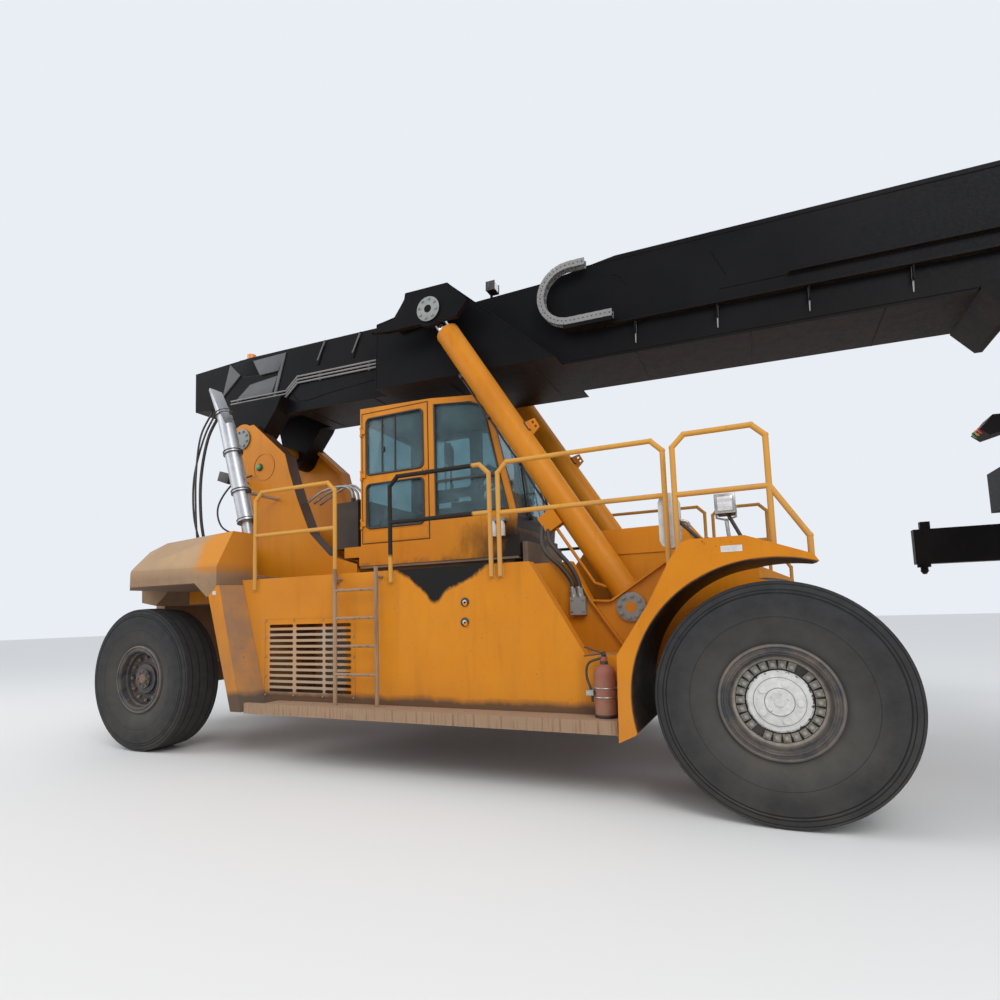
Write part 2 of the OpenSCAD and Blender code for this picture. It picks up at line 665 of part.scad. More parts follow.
module cab_body() {
  difference() {
    slab(-cab_y, cab_y) polygon(cab_side);
    slab(cab_wall - cab_y, cab_y - cab_wall) cab_void();
    // Doorway on the right, windows on both sides
    block([door_x0, -cab_y - 1, door_z0], [door_x1, cab_wall - cab_y + 1, door_z1]);
    for (s = [-1, 1]) on_side(s) slab(cab_y - cab_wall - 1, cab_y + 1) side_window();
    slab(cab_y - cab_wall - 1, cab_y + 1) panes();
    // Windscreen and rear window
    block([cab_front_x - 420, -cab_y + 60, split_z + 30], [cab_front_x + 20, cab_y - 60, 3790]);
    block([cab_rear_x - 1, -cab_y + 110, 2900], [cab_rear_x + cab_wall + 1, cab_y - 110, 3880]);
  }
}
module front_part() {
  block([split_x, -cab_y - 10, split_z], [cab_front_x + 10, cab_y + 10, cab_top_z + 10]);
}
module cab_shell() {
  color(yellow) placed() {
    for (z = hinge_z) {
      for (h = [[-61, -31], [31, 61]]) hinge_leaf(hinge_x - 20, hinge_x - 3, z + h[0], z + h[1]);
      for (h = [[-61, -31], [31, 61]])
        block([hinge_x - 4, -hinge_y - 5, z + h[0]], [hinge_x, -cab_y - 2, z + h[1]]);
      translate([hinge_x, -hinge_y, z - 61]) cylinder(r = 7, h = 122);
    }
    difference() {
      cab_body();
      front_part();
    }
    // Raised base under the cab
    difference() {
      union() {
        block([-4480, -cab_y, 2090], [cab_front_x + 20, cab_y, cab_low_z + 1]);
        block([-4700, -cab_y, 2200], [-4479, cab_y, cab_low_z + 1]);
      }
      block([-4420, -cab_y + 60, 2089], [cab_front_x - 80, cab_y - 60, cab_low_z - 30]);
    }
    // Roof hatch
    block([-4100, -300, cab_top_z - 20], [-3700, 300, cab_top_z + 40]);
  }
}
module cab_front() {
  color(black) placed() {
    intersection() {
      cab_body();
      front_part();
    }
    // Wiper on the windscreen's frame
    rod([-2410, -300, 2572], [-2578, -60, 3350], 9);
  }
}
glass_t = 8;
module cab_glass() {
  color(glass) placed() {
    for (s = [-1, 1]) on_side(s) slab(cab_y - 30, cab_y - 30 + glass_t) side_window();
    slab(cab_y - 30, cab_y - 30 + glass_t) panes();
    block([cab_rear_x + 20, -cab_y + 110, 2900], [cab_rear_x + 20 + glass_t, cab_y - 110, 3880]);
    slab(-cab_y + 60, cab_y - 60)
      polygon([[-2432, split_z + 30], [-2432 + glass_t, split_z + 30], [-2712 + glass_t, 3790], [-2712, 3790]]);
  }
}
module cab_door() {
  color(yellow) placed() difference() {
    union() {
      block([door_x0 + 6, -cab_y, door_z0 + 6], [door_x1 - 6, cab_wall - cab_y, door_z1 - 6]);
      for (z = hinge_z) hinge_leaf(hinge_x, hinge_x + 60, z - 30, z + 30);
      block([door_x1 - 62, -cab_y - 28, 3110], [door_x1 - 30, -cab_y + 1, 3170]);
    }
    for (z = hinge_z) translate([hinge_x, -hinge_y, z - 31]) cylinder(r = 7 + run_gap, h = 62);
    slab(-cab_y - 1, cab_wall - cab_y + 1) panes();
    // Groove around the pressed panel under the lower window
    slab(-cab_y - 1, 3 - cab_y) difference() {
      round_rect(door_x0 + 26, door_z0 + 26, door_x1 - 26, 2515, 20);
      round_rect(door_x0 + 32, door_z0 + 32, door_x1 - 32, 2509, 16);
    }
  }
}
module door_glass() {
  color(glass) placed() slab(25 - cab_y, 25 - cab_y + glass_t) panes();
}
floor_z = cab_low_z + cab_wall;
module cab_seat() {
  color(black) placed() {
    block([-3800, -200, floor_z], [-3400, 200, floor_z + 260]);
    block([-3860, -250, floor_z + 260], [-3330, 250, floor_z + 400]);
    block([-3960, -240, floor_z + 360], [-3859, 240, floor_z + 1050]);
  }
}
module cab_console() {
  color(grey) placed() {
    block([-2800, -400, floor_z], [-2620, 400, floor_z + 500]);
    rod([-2790, 0, floor_z + 450], [-2960, 0, floor_z + 720], 30);
    translate([-2960, 0, floor_z + 720]) rotate([0, -32, 0]) {
      rotate_extrude($fn = 48) translate([190, 0]) circle(16, $fn = 24);
      block([-12, -190, -10], [12, 190, 8]);
      block([-190, -12, -10], [190, 12, 8]);
    }
    block([-3700, 300, floor_z], [-3200, 420, floor_z + 560]);
  }
}

module lamps_mirrors() {
  y = 1650;
  color(black) placed() for (s = [-1, 1]) on_side(s) difference() {
    union() {
      rod([-150, y, 1950], [-260, y, 2190], 14);
      block([-330, y - 90, 2180], [-200, y + 90, 2330]);
      rod([-420, y, 1950], [-620, y + 60, 2160], 14);
      slab(y - 50, y + 80) round_rect(-760, 1950, -615, 2375, 60);
    }
    slab(lug_y1, drive_face_y + 10) fender_outer();
  }
}
module fire_extinguisher() {
  color([0.6, 0.25, 0.22]) placed() translate([-1230, -tank_y - 90, step_top_z]) {
    cylinder(r = 85, h = 330);
    translate([0, 0, 330]) sphere(85);
    translate([0, 0, 400]) cylinder(r = 26, h = 70);
  }
}
module lift_hoses() {
  color(grey) placed() for (s = [-1, 1]) on_side(s) {
    block([-1705, lug_y1, 1440], [-1560, lug_y1 + 70, 1610]);
    for (x = [-1665, -1600]) rod([x, lug_y1 + 40, 1605], [x - 12, lug_y1 + 44, 1690], 24);
  }
}

// The boom's own frame: origin at the pivot, X along the boom
module on_boom() {
  translate([pivot_x, 0, pivot_z]) rotate([0, boom_dip, 0]) children();
}
inner_y = boom_y - boom_wall - 32;
inner_tail_x = 700;
inner_low = boom_low_z + 65;
inner_top = inner_low + inner_h;
ear_y = rail_y - rail_t - 10;
module boom_outline() {
  polygon([
    [boom_tail_x + 30, 630], [boom_tail_x, 1228], [-200, boom_rear_z + 10], [2400, boom_rear_z + 10],
    [4250, boom_rear_z + 73], [5100, boom_top_z], [boom_front_x, boom_top_z], [boom_front_x, boom_low_z],
    [500, boom_low_z], [320, 600]
  ]);
}
module ear_outline() {
  polygon([[2200, boom_low_z], [2200, 1190], [2464, 1230], [2640, boom_top_z], [3215, boom_top_z], [4500, boom_low_z]]);
}
module pivot_outline() {
  difference() {
    union() {
      circle(190);
      polygon([[-190, 0], [-360, 560], [600, 560], [500, boom_low_z], [180, -50]]);
    }
    circle(pin_r + run_gap);
  }
}
// Plates around the head pin of the lift cylinders: the inner one and the lower outer one
module head_outline() {
  translate([lift_head_x, lift_head_z]) circle(190);
  polygon([
    [2560, 1000], [2640, boom_top_z - 2], [3215, boom_top_z - 2], [3450, 1250], [3330, lift_head_z],
    [lift_head_x - 185, lift_head_z]
  ]);
}
module lug_head_outline() {
  translate([lift_head_x, lift_head_z]) circle(190);
  polygon([
    [2330, 930], [2660, 1040], [2820, 1290], [3350, 1296], [3600, 1060], [3460, 900], [3118, 900], [2560, 900]
  ]);
}
module boom_outer() {
  pad = 30;
  color(black) placed() on_boom() {
    difference() {
      union() {
        slab(-boom_y, boom_y) boom_outline();
        for (s = [-1, 1]) on_side(s) {
          slab(boom_y - 1, rail_y + 8) ear_outline();
          slab(boom_y - 120, ear_y) pivot_outline();
          slab(boom_y - 120, boom_y) polygon([[-360, 559], [-420, 700], [700, 700], [600, 559]]);
          slab(rail_y + 7, 735) head_outline();
          slab(925, 985) lug_head_outline();
          block([2820, 734, 1248], [3350, 926, 1290]);
          translate([lift_head_x, 0, lift_head_z]) {
            bar_y(140, 984, 1004);
            bolt_ring(8, 112, 12, 1003, 1016, 10);
            bar_y(45, 1003, 1010);
          }
          // Side shelves of the front part with their gussets
          block([5000, boom_y - 1, 690], [boom_front_x, boom_y + 70, 715]);
          block([6750, boom_y - 1, 868], [boom_front_x, boom_y + 45, 890]);
          for (x = [5300, 6100, 6900, 7700]) slab(boom_y - 1, boom_y + 60)
            polygon([[x, 700], [x + 12, 700], [x + 12, 560], [x, 560]]);
          // Ribs of the rear part, and the seat of the cable chain
          for (x = [1180, 1760]) slab(boom_y - 1, boom_y + 14)
            polygon([[x, 1285], [x + 24, 1285], [x - 90, 960], [x - 114, 960]]);
          block([4560, boom_y - 1, 700], [5090, boom_y + 150, 740]);
        }
        // Work lamp and beacon on top
        rod([3640, -boom_y + 20, 1330], [3640, -boom_y + 20, 1420], 16);
        block([3600, -boom_y - 50, 1400], [3700, -boom_y + 70, 1500]);
        block([-470, -360, boom_rear_z - 60], [-250, -120, boom_rear_z + 50]);
        translate([-360, -240, boom_rear_z + 49]) cylinder(r = 62, h = 110);
        // Collar at the boom's mouth
        slab(-boom_y - 40, boom_y + 40) polygon([
          [boom_front_x - 60, boom_low_z - 215], [boom_front_x - 240, boom_low_z],
          [boom_front_x - 240, boom_low_z + 30], [boom_front_x, boom_low_z + 30], [boom_front_x, boom_low_z - 215]
        ]);
      }
      block([600, -boom_y + boom_wall, boom_low_z + pad], [boom_front_x + 1, boom_y - boom_wall, inner_top + 35]);
      bar_y(pin_r + run_gap, -ear_y - 1, ear_y + 1);
      block([-500, -boom_y + 120, -300], [700, boom_y - 120, 600]);
    }
    // Wear pads around the inner boom
    for (s = [-1, 1]) on_side(s) for (z = [inner_low + 60, inner_top - 160])
      block([boom_front_x - 220, inner_y + slide_gap, z], [boom_front_x - 20, boom_y - boom_wall + 1, z + 100]);
    for (z = [[boom_low_z + pad - 1, inner_low - slide_gap], [inner_top + slide_gap, inner_top + 36]])
      block([boom_front_x - 220, -250, z[0]], [boom_front_x - 20, 250, z[1]]);
  }
}
swing_in_boom = [
  (spread_x - pivot_x) * cos(boom_dip) - (swing_z - pivot_z) * sin(boom_dip),
  (spread_x - pivot_x) * sin(boom_dip) + (swing_z - pivot_z) * cos(boom_dip)
];
swing_pin_r = 90;
cheek_y0 = 330;
cheek_y1 = 400;
module boom_inner() {
  px = swing_in_boom[0];
  pz = swing_in_boom[1];
  color(black) placed() on_boom() {
    block([inner_tail_x, -inner_y, inner_low], [boom_front_x + 500, inner_y, inner_top]);
    slab(-300, 300) union() {
      polygon([
        [boom_front_x + 499, inner_low], [boom_front_x + 499, inner_top], [px - 350, inner_top], [px + 220, inner_top - 420],
        [px + 240, pz + 60], [px - 200, pz - 40], [px - 300, inner_low]
      ]);
      translate([px, pz]) circle(200);
    }
    translate([px, 0, pz]) bar_y(swing_pin_r, -cheek_y1 - 30, cheek_y1 + 30);
  }
}
module boom_pipes() {
  color(grey) placed() on_boom() for (i = [0 : 2]) {
    z = 592 + i * 45;
    y = -boom_y - 20;
    rod([-500, y, z], [540, y, z], 12);
    rod([540, y, z], [740, y, z + 170], 12);
    rod([740, y, z + 170], [2190, y, z + 170], 12);
    for (p = [[540, z], [740, z + 170]]) translate([p[0], y, p[1]]) sphere(14, $fn = 24);
    for (p = [[-400, z], [1100, z + 170], [1900, z + 170]])
      block([p[0], -boom_y - 15, p[1] - 16], [p[0] + 40, -boom_y, p[1] + 16]);
  }
}
module cable_chain() {
  y = -boom_y - 60;
  color(grey) placed() on_boom() translate([4620, y - 60, 1096]) rotate([90, 0, 0]) translate([0, 0, -60])
    linear_extrude(90) difference() {
      union() {
        circle(356);
        square([240, 356]);
        translate([0, -356]) square([470, 356]);
      }
      circle(276);
      translate([0, -276]) square([800, 552]);
    }
}

// Lift cylinders, drawn along their own axis from the lower pin
head_pin = [
  pivot_x + lift_head_x * cos(boom_dip) + lift_head_z * sin(boom_dip),
  pivot_z - lift_head_x * sin(boom_dip) + lift_head_z * cos(boom_dip)
];
lift_dx = head_pin[0] - lift_base_x;
lift_dz = head_pin[1] - lift_base_z;
lift_len = sqrt(lift_dx * lift_dx + lift_dz * lift_dz);
lift_lean = atan2(lift_dx, lift_dz);
eye_half = 80;
module on_lift(side) {
  on_side(side) translate([lift_base_x, lift_y, lift_base_z]) rotate([0, lift_lean, 0]) children();
}
barrel_len = lift_len - 290;
module lift_barrel(side) {
  color(yellow) placed() on_lift(side) difference() {
    union() {
      translate([0, 0, 60]) cylinder(d = barrel_d, h = barrel_len - 60);
      bar_y(130, -eye_half, eye_half);
      translate([0, 0, 150]) cylinder(d = barrel_d + 16, h = 70);
      // Valve on the barrel with its pipe, and the lifting eye plate
      block([-300, 10, 1070], [-115, 115, 1260]);
      rod([-200, 60, 1075], [-190, 60, 400], 16);
      translate([-190, 60, 400]) sphere(18, $fn = 24);
      rod([-190, 60, 400], [-110, 60, 300], 16);
      slab(-12, 12) difference() {
        polygon([[115, 2050], [235, 2080], [245, 2190], [115, 2230]]);
        for (z = [2110, 2165]) translate([205, z]) circle(16, $fn = 24);
      }
    }
    bar_y(60 + run_gap, -eye_half - 1, eye_half + 1);
    translate([0, 0, 200]) cylinder(d = barrel_d - 50, h = barrel_len - 300);
    translate([0, 0, 199]) cylinder(d = rod_d + 2 * run_gap, h = barrel_len);
  }
}
module lift_rod(side) {
  color([0.8, 0.8, 0.82]) placed() on_lift(side) {
    translate([0, 0, 230]) cylinder(d = rod_d, h = lift_len - 230);
    translate([0, 0, 230]) cylinder(d = barrel_d - 51, h = 120);
    translate([0, 0, lift_len]) bar_y(135, -eye_half, eye_half);
  }
}

// Spreader: the head swings on the boom's nose and carries the turning ring
ring_z = 3200;
module spreader_head() {
  color(black) placed() translate([spread_x, 0, 0]) {
    for (s = [-1, 1]) on_side(s) slab(cheek_y0, cheek_y1) difference() {
      union() {
        translate([0, swing_z]) circle(170);
        polygon([[-170, swing_z], [-380, ring_z + 160], [-380, ring_z + 80], [380, ring_z + 80], [380, ring_z + 160], [170, swing_z]]);
      }
      translate([0, swing_z]) circle(swing_pin_r + run_gap);
    }
    block([-420, -460, ring_z + 60], [420, 460, ring_z + 120]);
    // Signal lamps on an arm towards the driver
    rod([-400, 440, ring_z + 90], [-820, 760, ring_z + 20], 28);
    slab(680, 980) polygon([
      [-1010, ring_z - 60], [-940, ring_z - 130], [-700, ring_z - 60], [-700, ring_z + 60], [-900, ring_z + 70]
    ]);
    translate([0, 0, ring_z]) cylinder(r = 450, h = 61, $fn = 96);
    translate([0, 0, ring_z - 100]) cylinder(r = 100, h = 101);
  }
}
tube_z0 = 2520;
tube_z1 = 3000;
tube_w = 420;
tube_x = 260;
wall = 14;
claw_x = tube_x + tube_w / 2;
module spreader_carriage() {
  color(black) placed() translate([spread_x, 0, 0]) {
    difference() {
      union() {
        translate([0, 0, ring_z - 80]) cylinder(r = 440, h = 80 - run_gap, $fn = 96);
        block([-550, -750, tube_z1 + 20], [550, 750, ring_z - 79]);
      }
      translate([0, 0, ring_z - 101]) cylinder(r = 100 + run_gap, h = 120);
    }
    for (s = [-1, 1]) for (y = [-700, 400]) {
      block([s > 0 ? claw_x + 1 : -550, y, tube_z0 - 40], [s > 0 ? 550 : -claw_x - 1, y + 300, tube_z1 + 21]);
      block([s > 0 ? claw_x - 60 : -550, y, tube_z0 - 60], [s > 0 ? 550 : -claw_x + 60, y + 300, tube_z0 - slide_gap]);
    }
  }
}
beam_end_y = 2600;
module spreader_beam() {
  color(black) placed() translate([spread_x, 0, 0]) {
    for (s = [-1, 1]) difference() {
      block([s * tube_x - tube_w / 2, -beam_end_y, tube_z0], [s * tube_x + tube_w / 2, beam_end_y, tube_z1]);
      block([s * tube_x - tube_w / 2 + wall, -beam_end_y - 1, tube_z0 + wall],
            [s * tube_x + tube_w / 2 - wall, beam_end_y + 1, tube_z1 - wall]);
    }
    for (y = [-1900, 0, 1900]) block([-tube_x + tube_w / 2 - 1, y - 60, tube_z0], [tube_x - tube_w / 2 + 1, y + 60, tube_z1]);
    block([5 - claw_x, -1560, tube_z1 - 1], [claw_x - 5, 1560, tube_z1 + 20 - slide_gap]);
  }
}
lock_y = lock_pitch_y / 2;
beam_low_z = lock_tip_z + 130;
module spreader_arm(side) {
  s = side;
  arm_x = s * tube_x;
  gap = wall + slide_gap;
  color(black) placed() on_side(side) translate([spread_x, 0, 0]) {
    block([arm_x - tube_w / 2 + gap, -2300, tube_z0 + gap], [arm_x + tube_w / 2 - gap, lock_y - 100, tube_z1 - gap]);
    block([arm_x - tube_w / 2, lock_y - 130, beam_low_z + 40], [arm_x + tube_w / 2, lock_y - 99, tube_z1 - 20]);
    intersection() {
      block([-lock_pitch_x / 2 - 100, lock_y - 100, beam_low_z], [lock_pitch_x / 2 + 100, lock_y + 100, beam_low_z + 450]);
      cylinder(r = sweep_r, h = 4000, $fn = 96);
    }
    // Sensor box and guide plate over each lock
    for (x = [-1, 1]) {
      block([x * (lock_pitch_x / 2 - 40) - 55, lock_y - 60, beam_low_z + 449],
            [x * (lock_pitch_x / 2 - 40) + 55, lock_y + 30, beam_low_z + 550]);
      translate([x * lock_pitch_x / 2, lock_y, lock_tip_z + 90]) cylinder(r = 75, h = beam_low_z - lock_tip_z - 80);
    }
    // Upright arm plate with its small lamp
    slab(lock_y - 160, lock_y - 99) polygon([
      [arm_x - 300, beam_low_z + 300], [arm_x - 260, tube_z1 - 120], [arm_x - 160, tube_z1 + 20],
      [arm_x + 160, tube_z1 + 20], [arm_x + 260, tube_z1 - 120], [arm_x + 300, beam_low_z + 300]
    ]);
    translate([arm_x - 120, lock_y - 130, tube_z1 + 19]) cylinder(r = 28, h = 50);
    for (x = [-1, 1]) translate([x * lock_pitch_x / 2, lock_y, 0]) {
      translate([0, 0, lock_tip_z + 45]) cylinder(r = 42, h = beam_low_z - lock_tip_z - 40);
      translate([0, 0, lock_tip_z]) cylinder(r1 = 20, r2 = 50, h = 46);
    }
  }
}

chassis_frame();
front_frame();
boom_tower();
rear_hood();
engine_block();
valve_block();
tank(-1);  // tank_right
tank(1);  // tank_left
step(-1);  // step_right
step(1);  // step_left
front_fender(-1);  // front_fender_right
front_fender(1);  // front_fender_left
handrails(-1);  // handrails_right
handrails(1);  // handrails_left
deck();
exhaust_stack();
cab_shell();
cab_front();
cab_glass();
cab_seat();
cab_console();
cab_door();
door_glass();
drive_axle();
steer_axle();
lamps_mirrors();
fire_extinguisher();
lift_hoses();
drive_tyres(-1);  // drive_tyres_right
drive_tyres(1);  // drive_tyres_left
drive_rims(-1);  // drive_rims_right
drive_rims(1);  // drive_rims_left
drive_hub(-1);  // drive_hub_right
drive_hub(1);  // drive_hub_left
steer_knuckle(-1);  // steer_knuckle_right
steer_knuckle(1);  // steer_knuckle_left
steer_tyre(-1);  // steer_tyre_right
steer_tyre(1);  // steer_tyre_left
steer_rim(-1);  // steer_rim_right
steer_rim(1);  // steer_rim_left
boom_outer();
boom_inner();
boom_pipes();
cable_chain();
lift_barrel(-1);  // lift_barrel_right
lift_barrel(1);  // lift_barrel_left
lift_rod(-1);  // lift_rod_right
lift_rod(1);  // lift_rod_left
spreader_head();
spreader_carriage();
spreader_beam();
spreader_arm(-1);  // spreader_arm_right
spreader_arm(1);  // spreader_arm_left
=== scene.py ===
# %% [markdown]
# # Reach stacker
# A reach stacker lifts containers with a boom that reaches out over its front wheels. Its main forms are CAD
# solids, loaded here as the frame. Blender adds what is slow to do there: worn paint, dust and rust, tyre
# tread, bolts, hoses and small fittings. Everything is in metres, in the frame's own axes.

# %% Load the frame and name the main places
import bpy
import bmesh
import math
from mathutils import Vector, Matrix


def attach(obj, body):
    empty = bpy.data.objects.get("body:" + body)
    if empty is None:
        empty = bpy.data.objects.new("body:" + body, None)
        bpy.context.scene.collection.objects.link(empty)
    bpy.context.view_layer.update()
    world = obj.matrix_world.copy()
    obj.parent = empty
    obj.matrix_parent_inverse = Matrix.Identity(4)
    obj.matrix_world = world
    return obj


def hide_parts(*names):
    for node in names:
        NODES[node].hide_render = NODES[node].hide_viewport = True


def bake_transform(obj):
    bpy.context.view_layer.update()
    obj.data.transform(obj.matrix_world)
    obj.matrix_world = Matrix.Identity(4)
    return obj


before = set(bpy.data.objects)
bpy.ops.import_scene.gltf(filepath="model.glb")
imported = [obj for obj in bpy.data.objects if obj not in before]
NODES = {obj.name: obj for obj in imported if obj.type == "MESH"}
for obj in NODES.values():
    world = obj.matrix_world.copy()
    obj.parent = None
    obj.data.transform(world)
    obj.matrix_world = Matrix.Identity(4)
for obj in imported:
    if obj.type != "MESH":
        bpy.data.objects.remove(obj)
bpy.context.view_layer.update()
OX = 1.94025  # the drive axle's X in the row frame
AXLE_Z = 0.825  # height of both axles
WHEELBASE = 6.75
STEER_Y = 1.64  # middle of the steer tyres
PIVOT_X, PIVOT_Z = -6.4, 3.95  # the boom's pivot, from the drive axle
FOOT_X, FOOT_Z = -1.15, 1.5  # the lift cylinders' lower pins
EYE_X, EYE_Z = 3.118, 1.049  # their upper pins, in the boom's own frame
BOOM_Y = 0.4395  # the boom's side faces
SPREADER_X = 2.98  # the axis that the spreader turns about

# %% [markdown]
# ## Camera
# The machine is seen through a wide lens, low beside the drive wheels. A camera could be aimed by hand or
# by a Track To constraint. Here its turn is three angles and a small lens shift, because those are what the
# perspective of the machine's straight edges gives.

# %% Camera
def make_camera():
    yaw, pitch, roll = 0.438, 0.104, -0.028
    fwd = Vector((-math.sin(yaw), math.cos(yaw), 0))
    right = Vector((math.cos(yaw), math.sin(yaw), 0))
    up = Vector((0, 0, 1))
    f2 = math.cos(pitch) * fwd + math.sin(pitch) * up
    u2 = -math.sin(pitch) * fwd + math.cos(pitch) * up
    r3 = math.cos(roll) * right + math.sin(roll) * u2
    u3 = -math.sin(roll) * right + math.cos(roll) * u2
    cam = bpy.data.cameras.new("camera")
    cam.sensor_width = 36.0
    cam.lens = 21.686
    cam.shift_x = 0.01731
    cam.shift_y = 0.05159
    obj = bpy.data.objects.new("camera", cam)
    bpy.context.scene.collection.objects.link(obj)
    m = Matrix((r3, u3, -f2)).transposed().to_4x4()
    m.translation = Vector((-0.027 + OX, -6.613, 1.468))
    obj.matrix_world = m
    cam.clip_end = 200
    bpy.context.scene.camera = obj
    print("camera", tuple(round(v, 3) for v in m.translation))


make_camera()

# %% [markdown]
# ## Materials
# Real paint is never one colour: it fades, catches dust on top and rusts in specks. Image textures could show
# that, but they need unwrapped meshes. Noise on Object coordinates needs none and stays put on a piece, so
# each material is a Principled shader fed by noise. This class keeps the node calls short.

# %% A builder for node trees
class Nodes:
    """A small builder for one material's node tree."""

    def __init__(self, name):
        self.mat = bpy.data.materials.new(name)
        self.mat.use_nodes = True
        self.tree = self.mat.node_tree
        self.tree.nodes.clear()
        self.out = self.tree.nodes.new("ShaderNodeOutputMaterial")
        self.bsdf = self.tree.nodes.new("ShaderNodeBsdfPrincipled")
        self.tree.links.new(self.bsdf.outputs[0], self.out.inputs[0])
        self.coord = self.tree.nodes.new("ShaderNodeTexCoord").outputs["Object"]

    def new(self, kind, inputs=None, **props):
        n = self.tree.nodes.new(kind)
        for k, v in props.items():
            setattr(n, k, v)
        for k, v in (inputs or {}).items():
            self.put(n.inputs[k], v)
        return n

    def put(self, socket, value):
        if isinstance(value, bpy.types.NodeSocket):
            self.tree.links.new(value, socket)
        elif isinstance(value, (tuple, list)) and len(value) == 3 and len(socket.default_value) == 4:
            socket.default_value = (*value, 1.0)
        else:
            socket.default_value = value

    def noise(self, scale, detail=6.0, rough=0.6, stretch=(1, 1, 1), offset=(0, 0, 0), distortion=0.0):
        m = self.new("ShaderNodeMapping", {0: self.coord, 1: offset, 3: stretch})
        n = self.new("ShaderNodeTexNoise", {"Vector": m.outputs[0], "Scale": scale, "Detail": detail,
                                            "Roughness": rough, "Distortion": distortion})
        return n.outputs[0]

    def ramp(self, value, low, high, out_low=0.0, out_high=1.0):
        n = self.new("ShaderNodeMapRange", {0: value, 1: low, 2: high, 3: out_low, 4: out_high})
        n.clamp = True
        return n.outputs[0]

    def math(self, op, a, b=0.0):
        return self.new("ShaderNodeMath", {0: a, 1: b}, operation=op).outputs[0]

    def add(self, a, b):
        return self.math("ADD", a, b)

    def sub(self, a, b):
        return self.math("SUBTRACT", a, b)

    def mul(self, a, b):
        return self.math("MULTIPLY", a, b)

    def max(self, a, b):
        return self.math("MAXIMUM", a, b)

    def abs(self, a):
        return self.math("ABSOLUTE", a)

    def mix(self, fac, a, b):
        return self.new("ShaderNodeMix", {0: fac, 6: a, 7: b}, data_type="RGBA").outputs[2]

    def axis(self, i):
        """A coordinate in the row frame: 0 along, 1 across, 2 up."""
        return self.new("ShaderNodeSeparateXYZ", {0: self.coord}).outputs[i]

    def facing(self, i):
        """How far a face looks along an axis."""
        g = self.new("ShaderNodeNewGeometry")
        return self.new("ShaderNodeSeparateXYZ", {0: g.outputs["Normal"]}).outputs[i]

    def finish(self, color, rough, metal=0.0, bump=None, strength=0.15, distance=0.004):
        self.put(self.bsdf.inputs["Base Color"], color)
        self.put(self.bsdf.inputs["Roughness"], rough)
        self.put(self.bsdf.inputs["Metallic"], metal)
        if bump is not None:
            b = self.new("ShaderNodeBump", {"Height": bump, "Strength": strength, "Distance": distance})
            self.put(self.bsdf.inputs["Normal"], b.outputs[0])
        return self.mat


# %% [markdown]
# ### Worn paint
# Dust lies where a surface looks up or is near the ground, rain leaves upright streaks, and rust breaks out
# in specks. Each is a mask from 0 to 1, made from noise, height or the way a face looks. They are mixed
# over the base colour one after another, in the order in which the dirt arrives on a real machine.

# %% Worn paint
DUST = (0.33, 0.22, 0.14)
RUST = (0.115, 0.04, 0.016)


def worn_paint(name, base, tint, rough=0.42, dust=0.35, low_z=1.4, rust=0.5, top_dust=0.45, streak=0.25,
               under=None, marks=(), spec=0.2):
    """Paint whose colour drifts to tint, with dust on upper faces and below low_z, streaks and rust specks.
    under colours what looks down, which on the hood is painted shade, and marks adds soot, painted shade and
    other colours: (mask maker, colour) pairs."""
    n = Nodes(name)
    cloud = n.noise(0.9, 5, 0.6, offset=(3, 1, 2))
    col = n.mix(n.ramp(cloud, 0.35, 0.7), base, tint)
    run = n.noise(5.0, 5, 0.6, stretch=(1.6, 1.6, 0.16), offset=(7, 2, 0))
    col = n.mix(n.ramp(run, 0.52, 0.78, 0.0, streak), col, (base[0] * 0.35, base[1] * 0.33, base[2] * 0.5))
    if under:
        down = n.mul(n.ramp(n.facing(2), -0.3, -0.8), n.ramp(run, 0.35, 0.65, 0.35, 1.0))
        col = n.mix(down, col, under)
    grain = n.noise(38.0, 3, 0.7)
    low = n.ramp(n.axis(2), low_z, low_z - 1.1, 0.0, dust)
    low = n.mul(low, n.ramp(n.noise(2.3, 8, 0.7), 0.3, 0.62, 0.35, 1.0))
    top = n.mul(n.ramp(n.facing(2), 0.35, 0.9), top_dust)
    top = n.mul(top, n.ramp(n.noise(1.7, 7, 0.65, offset=(1, 5, 9)), 0.3, 0.6, 0.4, 1.0))
    veil = n.mul(n.ramp(n.noise(0.55, 6, 0.6, offset=(9, 9, 1)), 0.45, 0.75), dust * 0.4)
    amount = n.max(n.max(low, top), veil)
    col = n.mix(amount, col, DUST)
    spots = n.noise(16.0, 7, 0.72, offset=(2, 8, 4))
    edge = 0.715 - 0.055 * rust
    col = n.mix(n.ramp(spots, edge, edge + 0.03), col, RUST)
    fine = n.ramp(n.noise(70.0, 2, 0.5, offset=(4, 4, 1)), 0.71, 0.76, 0.0, 0.8 * rust)
    col = n.mix(fine, col, (0.03, 0.02, 0.015))
    for mask, colour in marks:
        col = n.mix(mask(n), col, colour)
    r = n.add(n.mul(amount, 0.45), n.ramp(grain, 0.3, 0.7, rough - 0.07, rough + 0.07))
    n.put(n.bsdf.inputs["Specular IOR Level"], spec)
    return n.finish(col, r, 0.0, grain, 0.06, 0.002)


# %% [markdown]
# ### Marks that belong to one place
# Soot lies below the cab's front, brown dust on the rear pillar, scuffs along the step. Some marks are
# painted
# shade: the dark inside of the fender's arch, the tower plates' front edges, a band above the step, and the
# pillar's brown, darkened to the shade it stands in. Such marks could be painted on by hand. A mask worked
# out from a place needs no picture, and moves when its number is changed, so each mark is a function that
# returns a mask, and noise breaks its edge up.

# %% Tools for masks
def radius_of(n, cx):
    """Distance from a wheel's axle."""
    x = n.sub(n.axis(0), cx)
    z = n.sub(n.axis(2), AXLE_Z)
    return n.math("SQRT", n.add(n.mul(x, x), n.mul(z, z)))


def between(n, value, a, b, soft):
    """1 between a and b along a coordinate, fading over soft."""
    return n.mul(n.ramp(value, a - soft, a), n.ramp(value, b + soft, b))


